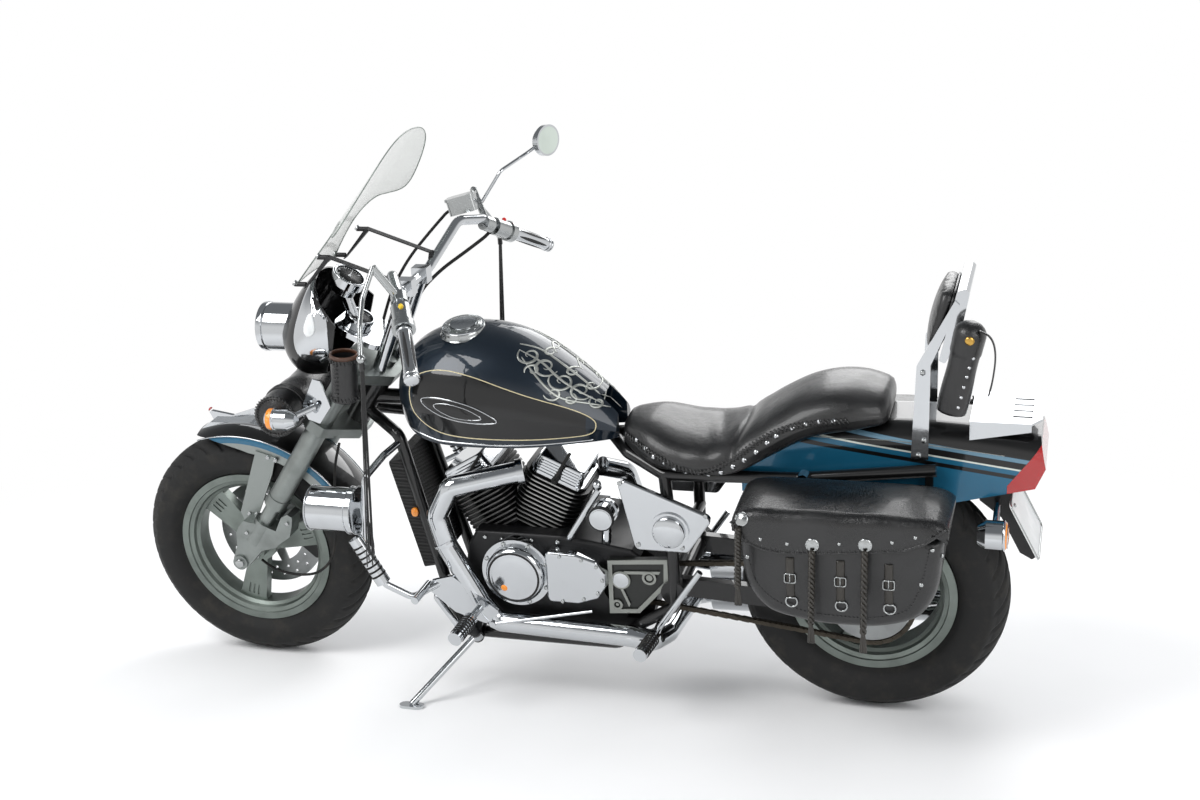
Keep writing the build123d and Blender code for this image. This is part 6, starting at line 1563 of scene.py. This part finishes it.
class CRUISER_OT_tank(bpy.types.Operator):
    """Pinstripe, oval badge blank, scrollwork, filler ring and seam of the fuel tank"""

    bl_idname = "cruiser.tank"
    bl_label = "Tank trims"

    def execute(self, context):
        tree = skin(frame["nodes"]["fuel_tank"])
        stripe, badge, rim, scroll, seam = (Heap() for _ in range(5))
        loop = even(soften(TANK_LOOP, True, 2), 150, True)
        oval = np.array([(556, 818), (600, 830), (660, 824), (720, 806), (778, 768), (700, 764), (630, 778)], float)
        edge = even(soften(oval, True, 2), 90, True)
        low = even(np.array([(520.0, 724), (600, 705), (760, 700), (980, 706)]), 60)
        for hand in (-1, 1):
            stripe.tube(lay_side(tree, loop, hand, 0.2, 400.0)[0], 1.5, 6, True, 0.5)
            badge.surface(leaf_grid(tree, oval, hand, 1.4, 2.6), False, True)
            for share, size in ((1.0, 1.8), (0.62, 1.2)):
                ring = edge.mean(0) + (edge - edge.mean(0)) * share
                rim.tube(lay_side(tree, ring, hand, 1.2 + (1 - share) * 6, 400.0)[0], size, 8, True)
            self.scrolls(scroll, tree, hand)
            seam.tube(lay_side(tree, low, hand, 0.3, 400.0)[0], 2.4, 8)
        build("tank_pinstripe", stripe, "chassis", "pinstripe")
        build("tank_badge_blank", badge, "chassis", "gloss_black")
        build("tank_badge_rim", rim, "chassis", "chrome")
        build("tank_scrollwork", scroll, "chassis", "silver")
        build("tank_seam", seam, "chassis", "chrome")
        cap = Heap()
        origin, axis = np.array([649.0, -26, 950]), unit([-0.02, -0.16, 1.0])
        profile = [(32, 22.5), (34, 25), (38, 23.5), (46, 22.6), (52.6, 20), (54.0, 14), (55, 8), (60, 3)]
        cap.turned(profile, origin, axis, 64)
        out = around(axis, np.linspace(0, 2 * np.pi, 12, endpoint=False))
        cap.repeat(*dome(2.6, 1.6, 8, 2), origin + axis * 22.4 + out * 44, axis)
        build("filler_ring", cap, "chassis", "dull_chrome")
        return {"FINISHED"}

    def scrolls(self, heap, tree, hand):
        """Plain curls and leaves in one band along the tank's shoulder."""
        curls = (
            ((828, 936), 2.6, 27, 1.25, 1), ((868, 908), -0.4, 28, 1.3, -1), ((908, 872), 2.5, 30, 1.3, 1),
            ((950, 850), -0.5, 26, 1.3, -1), ((842, 896), 3.6, 18, 1.1, -1), ((893, 838), 3.4, 21, 1.1, 1),
            ((988, 822), 2.3, 18, 1.2, 1), ((930, 826), 1.2, 16, 1.1, -1), ((868, 950), 0.6, 15, 1.1, 1),
            ((925, 900), 0.6, 16, 1.2, 1), ((968, 868), 0.4, 14, 1.1, -1),
        )
        stems = (
            [(800, 966), (846, 958), (893, 924), (940, 888), (986, 848), (1020, 814)],
            [(812, 930), (850, 884), (878, 850), (912, 824), (970, 818), (1016, 812)],
            [(806, 948), (860, 920), (900, 878), (946, 848), (1000, 820)],
        )
        for line in [spiral(*curl) for curl in curls] + [soften(stem) for stem in stems]:
            places, normals = lay_side(tree, even(line, 50), hand, 0.2, 120.0, 0.45)
            width = 3.2 * np.sin(np.linspace(0.25, np.pi - 0.15, 50)) + 0.5
            heap.tube(places, width, 6, False, 0.4, normals.mean(0))


class CRUISER_OT_engine(bpy.types.Operator):
    """Bolts, rings, oil window and plug leads on the engine, side covers' domes, horn's bands and peg rubbers"""

    bl_idname = "cruiser.engine"
    bl_label = "Engine trims"

    def execute(self, context):
        bolts, dark, chrome = Heap(), Heap(), Heap()
        for hand in (-1, 1):
            centre = np.array([779.0, hand * 185.3, 367])
            for a in np.radians(45 * np.arange(8) + 20):
                place = centre + [83 * math.cos(a), -hand * 26.3, 83 * math.sin(a)]
                bolts.repeat(*hexagon(5.5, 4.5), [place], (0, hand, 0))
            dark.turned([(62.0, -0.6), (63.0, 0.5), (66.0, 0.3), (67.5, -1.4)], centre, (0.0, hand, 0), 64)
            chrome.turned([(0, 3.0), (30, 2.6), (46, 1.4), (56, -0.4)], centre, (0.0, hand, 0), 64)
            for x, z in ((900, 306), (955, 316), (992, 336), (1006, 372), (992, 408), (955, 424), (900, 430)):
                bolts.repeat(*hexagon(4.8, 4.0), [(x, hand * 175.2, z)], (0, hand, 0))
            for x, z in ((694, 455), (739, 452), (816, 455), (884, 456)):
                bolts.repeat(*hexagon(6.0, 7.0), [(x, hand * 130.2, z - 8)], (0, hand, 0))
        build("engine_bolts", bolts, "chassis", "dull_chrome")
        chrome.turned([(0, 2.4), (17, 2.0), (25, 0.4)], (1007.0, -162.4, 531), (0.0, -1, 0), 40)
        chrome.turned([(9, -1), (11, 0), (11, 16), (8, 22), (0, 23)], (998.0, -140, 607), (0.1, -0.6, 0.8), 24)
        chrome.turned([(0, 2), (15, 1.6), (20, 0.2)], (1045.0, -151.0, 363), (0.0, -1, 0), 32)
        build("engine_bright_trims", chrome, "chassis", "chrome")
        dark.turned([(27.4, 0.3), (29.5, 1.0), (32.0, 0.4), (32.2, -8)], (1007.0, -160.5, 531), (0.0, -1, 0), 40)
        build("engine_dark_rings", dark, "chassis", "engine_black")
        window = Heap().turned([(0, 3.4), (8, 3.0), (10, 1.2), (10.4, -2)], (754.0, -184.8, 338), (0.0, -1, 0), 28)
        build("oil_window", window, "chassis", "amber")
        plugs = Heap()
        for lean, reach in ((-30.5, 250.0), (24.5, 250.0)):
            a = math.radians(lean)
            spot = np.array([CRANK_X + reach * math.sin(a), -84.0, 365 + reach * math.cos(a)])
            line = soften(np.array([spot, spot + [6, -22, 10], spot + [22, -26, 40], spot + [46, -6, 78]]))
            plugs.tube(even(line, 24), 4.2, 8)
            plugs.tube(even(np.array([spot + [0, 4, 0], spot + [2, -14, 4]]), 6), 9.0, 12)
        build("plug_leads", plugs, "chassis", "grip_rubber")
        domes, screws = Heap(), Heap()
        profile = [(0, 7.0), (16, 6.4), (28, 4.0), (36, 0.6), (38, -1)]
        for hand in (-1, 1):
            domes.turned(profile, (1182.0, hand * 195.1, 522), (0.0, hand, 0), 48)
            for x, z in ((1066, 640), (1272, 568), (1104, 480), (1212, 480)):
                screws.repeat(*hexagon(6.0, 4.0), [(x, hand * 179.6, z)], (0, hand, 0))
        build("side_cover_domes", domes, "chassis", "chrome")
        build("side_cover_screws", screws, "chassis", "dull_chrome")
        horn = Heap()
        can_back = CRANK_X - 343 - 9.3
        for at, size in ((-124.0, 56.0), (-20.0, 58.6), (-4.0, 58.6)):
            horn.tube((can_back + at, -250, 557) + size * np.insert(circle(64), 0, 0.0, axis=1), 1.5, 8, True)
        build("horn_bands", horn, "chassis", "chrome")
        outline = even(soften([(490, 476), (508, 476), (508, 500), (490, 500)], True, 2), 32, True)
        mark = Heap().pillow(outline, 99.5, 106, 1.5, 0, 1.5, lambda grid: side_view(grid) * [1, -1, 1])
        build("side_reflector", mark, "chassis", "amber")
        pegs = Heap()
        for hand in (-1, 1):
            for low, high, size in (
                ((434.0, 330, 522), (498.0, 330, 407), 18.6), ((678.0, 240, 273), (669.0, 334, 266), 18.6),
                ((1138.0, 206, 247), (1126.0, 304, 248), 17.6),
            ):
                a, b = np.array(low) * [1, hand, 1], np.array(high) * [1, hand, 1]
                rib = [(size - 1.2, -3), (size + 0.6, -2), (size + 0.6, 2), (size - 1.2, 3)]
                for share in np.linspace(0.18, 0.82, 7):
                    pegs.turned(rib, a + (b - a) * share, unit(b - a), 28)
        build("peg_rubbers", pegs, "chassis", "grip_rubber")
        return {"FINISHED"}


class CRUISER_OT_tail(bpy.types.Operator):
    """Indicator lenses, plate rim, backrest bolts and the fender's bright lines"""

    bl_idname = "cruiser.tail"
    bl_label = "Tail trims"

    def execute(self, context):
        amber, rings = Heap(), Heap()
        for hand in (-1, 1):
            lamp = np.array([WHEELBASE + 312, hand * 175.0, 565])
            amber.turned([(32.5, -1), (32.5, 3), (30, 7), (20, 10.5), (0, 12)], lamp, (1.0, 0, 0), 40)
            rings.turned([(32, -3), (35.2, -2), (35.6, 2), (33, 4)], lamp, (1.0, 0, 0), 40)
        build("rear_amber_lenses", amber, "chassis", "amber")
        build("rear_lamp_rings", rings, "chassis", "chrome")
        top, low = np.array([WHEELBASE + 318.0, 0, 600]), np.array([WHEELBASE + 386.0, 0, 464])
        down = unit(low - top)
        outwards = np.array([-down[2], 0, down[0]])
        tall = np.linalg.norm(low - top) / 2
        wide, high, cut = 93.0, tall - 2, 8
        corners = [
            (-wide, cut - high), (cut - wide, -high), (wide - cut, -high), (wide, cut - high),
            (wide, high - cut), (wide - cut, high), (cut - wide, high), (-wide, high - cut),
        ]
        loop = even(corners, 120, True)
        place = pad_place((top + low) / 2 + outwards * 3.2, (0, 1, 0), down, outwards)
        rim = Heap().tube(place(np.column_stack([loop, np.zeros(120)])), 2.4, 8, True)
        for x in (-55, 55):
            rim.repeat(*hexagon(5.0, 3.0), [place(np.array([[x, -tall + 18, 0.2]]))[0]], [outwards])
        build("plate_rim", rim, "chassis", "dull_chrome")
        tree = skin(frame["nodes"]["rear_fender"])
        line = Heap()
        run = even(np.array([(1500.0, 748), (1700, 752), (1820, 742), (1950, 728)]), 70)
        for hand in (-1, 1):
            line.tube(lay_side(tree, run, hand, 0.3, 300.0)[0], 1.5, 6, False, 0.6)
        build("rear_fender_lines", line, "chassis", "silver")
        bolts = Heap()
        for hand in (-1, 1):
            for x, z in ((114.0, 722.0), (126.0, 760.0), (122.0, 925.0)):
                bolts.repeat(*hexagon(6.5, 5.0), [(WHEELBASE + x, hand * 109.2, z)], (0, hand, 0))
        build("backrest_bolts", bolts, "chassis", "dull_chrome")
        return {"FINISHED"}


# ---------------------------------------------------------------------------------------------
# Stage
# ---------------------------------------------------------------------------------------------
FLOOR_REACH, FLOOR_Z = 60.0, -0.0006


class CRUISER_OT_stage(bpy.types.Operator):
    """Camera, pale floor and soft light"""

    bl_idname = "cruiser.stage"
    bl_label = "Camera, floor and light"

    def seen(self, graph):
        """1 for the rays that show the background: straight, mirrored or through glass."""
        kinds = ("Is Camera Ray", "Is Glossy Ray", "Is Transmission Ray")
        straight, mirrored, through = graph.node("ShaderNodeLightPath", output=kinds)
        return straight.larger(mirrored).larger(through)

    def execute(self, context):
        scene = context.scene
        azimuth, elevation, roll = (math.radians(a) for a in (16.08, 12.16, -0.78))
        flat = math.cos(elevation)
        look = Vector((-math.sin(azimuth) * flat, math.cos(azimuth) * flat, -math.sin(elevation)))
        level = look.cross(Vector((0, 0, 1))).normalized()
        upward = level.cross(look)
        right = level * math.cos(roll) + upward * math.sin(roll)
        top = upward * math.cos(roll) - level * math.sin(roll)
        eye = Vector(((2112.0 + SHIFT_X) / 1000, (-4063.0 + SHIFT_Y) / 1000, 1.649))
        camera = bpy.data.objects.new("camera", bpy.data.cameras.new("camera"))
        camera.data.lens, camera.data.sensor_width, camera.data.sensor_fit = 51.35, 36.0, "HORIZONTAL"
        turned = Matrix((right, top, -look)).transposed().to_4x4()
        camera.matrix_world = Matrix.Translation(eye) @ turned
        scene.collection.objects.link(camera)
        scene.camera = camera

        floor_finish = Finish("pale_floor")
        seen = self.seen(floor_finish)
        far = floor_finish.node("ShaderNodeVectorMath", {"operation": "LENGTH"}, floor_finish.coords(), output="Value")
        floor_finish.set(
            Base_Color=floor_finish.blend(
                floor_finish.noise(3.0, 2.0, 0.5), shade(0.965, 0.965, 0.965), shade(0.985, 0.985, 0.985),
            ),
            Roughness=0.9, Specular_IOR_Level=0.1,
        )
        glow = floor_finish.node("ShaderNodeEmission", None, Color=(1, 1, 1, 1), Strength=1.0)
        plain = Wire(floor_finish, floor_finish.surface.outputs[0])
        mixed = floor_finish.node("ShaderNodeMixShader", None, seen * far.ramp(1.3, 3.0), plain, glow)
        out = floor_finish.tree.nodes["Material Output"]
        floor_finish.plug(out.inputs["Surface"], mixed)
        mesh = bpy.data.meshes.new("floor")
        corners = [(x * FLOOR_REACH, y * FLOOR_REACH, FLOOR_Z) for x, y in ((-1, -1), (1, -1), (1, 1), (-1, 1))]
        mesh.from_pydata(corners, [], [(0, 1, 2, 3)])
        mesh.materials.append(floor_finish.material)
        floor = bpy.data.objects.new("floor", mesh)
        scene.collection.objects.link(floor)

        world = bpy.data.worlds.new("studio")
        scene.world = world
        world.use_nodes = True
        world.node_tree.nodes.clear()
        sky = Graph(world.node_tree)
        split = sky.node("ShaderNodeSeparateXYZ", None, sky.coords(), output="Z")
        ceiling = sky.blend(split.ramp(0.06, 0.6), (1, 1, 1, 1), (0.22, 0.23, 0.24, 1))
        shown = sky.node("ShaderNodeBackground", None, Color=ceiling, Strength=1.0)
        lit = sky.node("ShaderNodeBackground", None, Color=(0.95, 0.97, 1.0, 1), Strength=0.62)
        mixed = sky.node("ShaderNodeMixShader", None, self.seen(sky), lit, shown)
        sky.node("ShaderNodeOutputWorld", None, mixed, output=None)
        for name, place, aim, power, size in (
            ("key", (-2.6, -3.2, 4.2), (0, 0, 0.6), 190.0, 2.8), ("fill", (3.4, -2.4, 2.6), (0, 0, 0.6), 60.0, 2.4),
            ("back", (0.6, 3.8, 3.6), (0, 0, 0.6), 110.0, 3.0),
        ):
            light = bpy.data.objects.new(name, bpy.data.lights.new(name, "AREA"))
            light.data.energy, light.data.size = power, size
            light.location = place
            light.rotation_euler = (Vector(aim) - Vector(place)).to_track_quat("-Z", "Y").to_euler()
            scene.collection.objects.link(light)
        scene.view_settings.view_transform = "Standard"
        return {"FINISHED"}


OPERATORS = (
    CRUISER_OT_stage, CRUISER_OT_bags, CRUISER_OT_bar, CRUISER_OT_solids, CRUISER_OT_tyres, CRUISER_OT_chain,
    CRUISER_OT_seat, CRUISER_OT_backrest, CRUISER_OT_tool_roll, CRUISER_OT_cup, CRUISER_OT_bottle_holder,
    CRUISER_OT_windscreen, CRUISER_OT_cowl_trims, CRUISER_OT_gauges, CRUISER_OT_front_trims, CRUISER_OT_tank,
    CRUISER_OT_engine, CRUISER_OT_tail,
)


class CRUISER_PT_panel(bpy.types.Panel):
    """Sizes, colours and pieces of the motorcycle"""

    bl_idname = "CRUISER_PT_panel"
    bl_label = "Cruiser motorcycle"
    bl_space_type = "VIEW_3D"
    bl_region_type = "UI"
    bl_category = "Cruiser"

    def draw(self, context):
        scene = context.scene
        for group in (scene.cruiser_sizes, scene.cruiser_colours):
            box = self.layout.box()
            for key in group.__annotations__:
                box.prop(group, key)
        for operator in OPERATORS:
            self.layout.operator(operator.bl_idname)


CLASSES = (CruiserColours, CruiserSizes, *OPERATORS, CRUISER_PT_panel)


def register():
    for kind in CLASSES:
        bpy.utils.register_class(kind)
    bpy.types.Scene.cruiser_sizes = bpy.props.PointerProperty(type=CruiserSizes)
    bpy.types.Scene.cruiser_colours = bpy.props.PointerProperty(type=CruiserColours)


def unregister():
    del bpy.types.Scene.cruiser_sizes
    del bpy.types.Scene.cruiser_colours
    for kind in reversed(CLASSES):
        bpy.utils.unregister_class(kind)


def main():
    register()
    for operator in OPERATORS:
        group, name = operator.bl_idname.split(".")
        getattr(getattr(bpy.ops, group), name)()


if __name__ == "__main__":
    main()
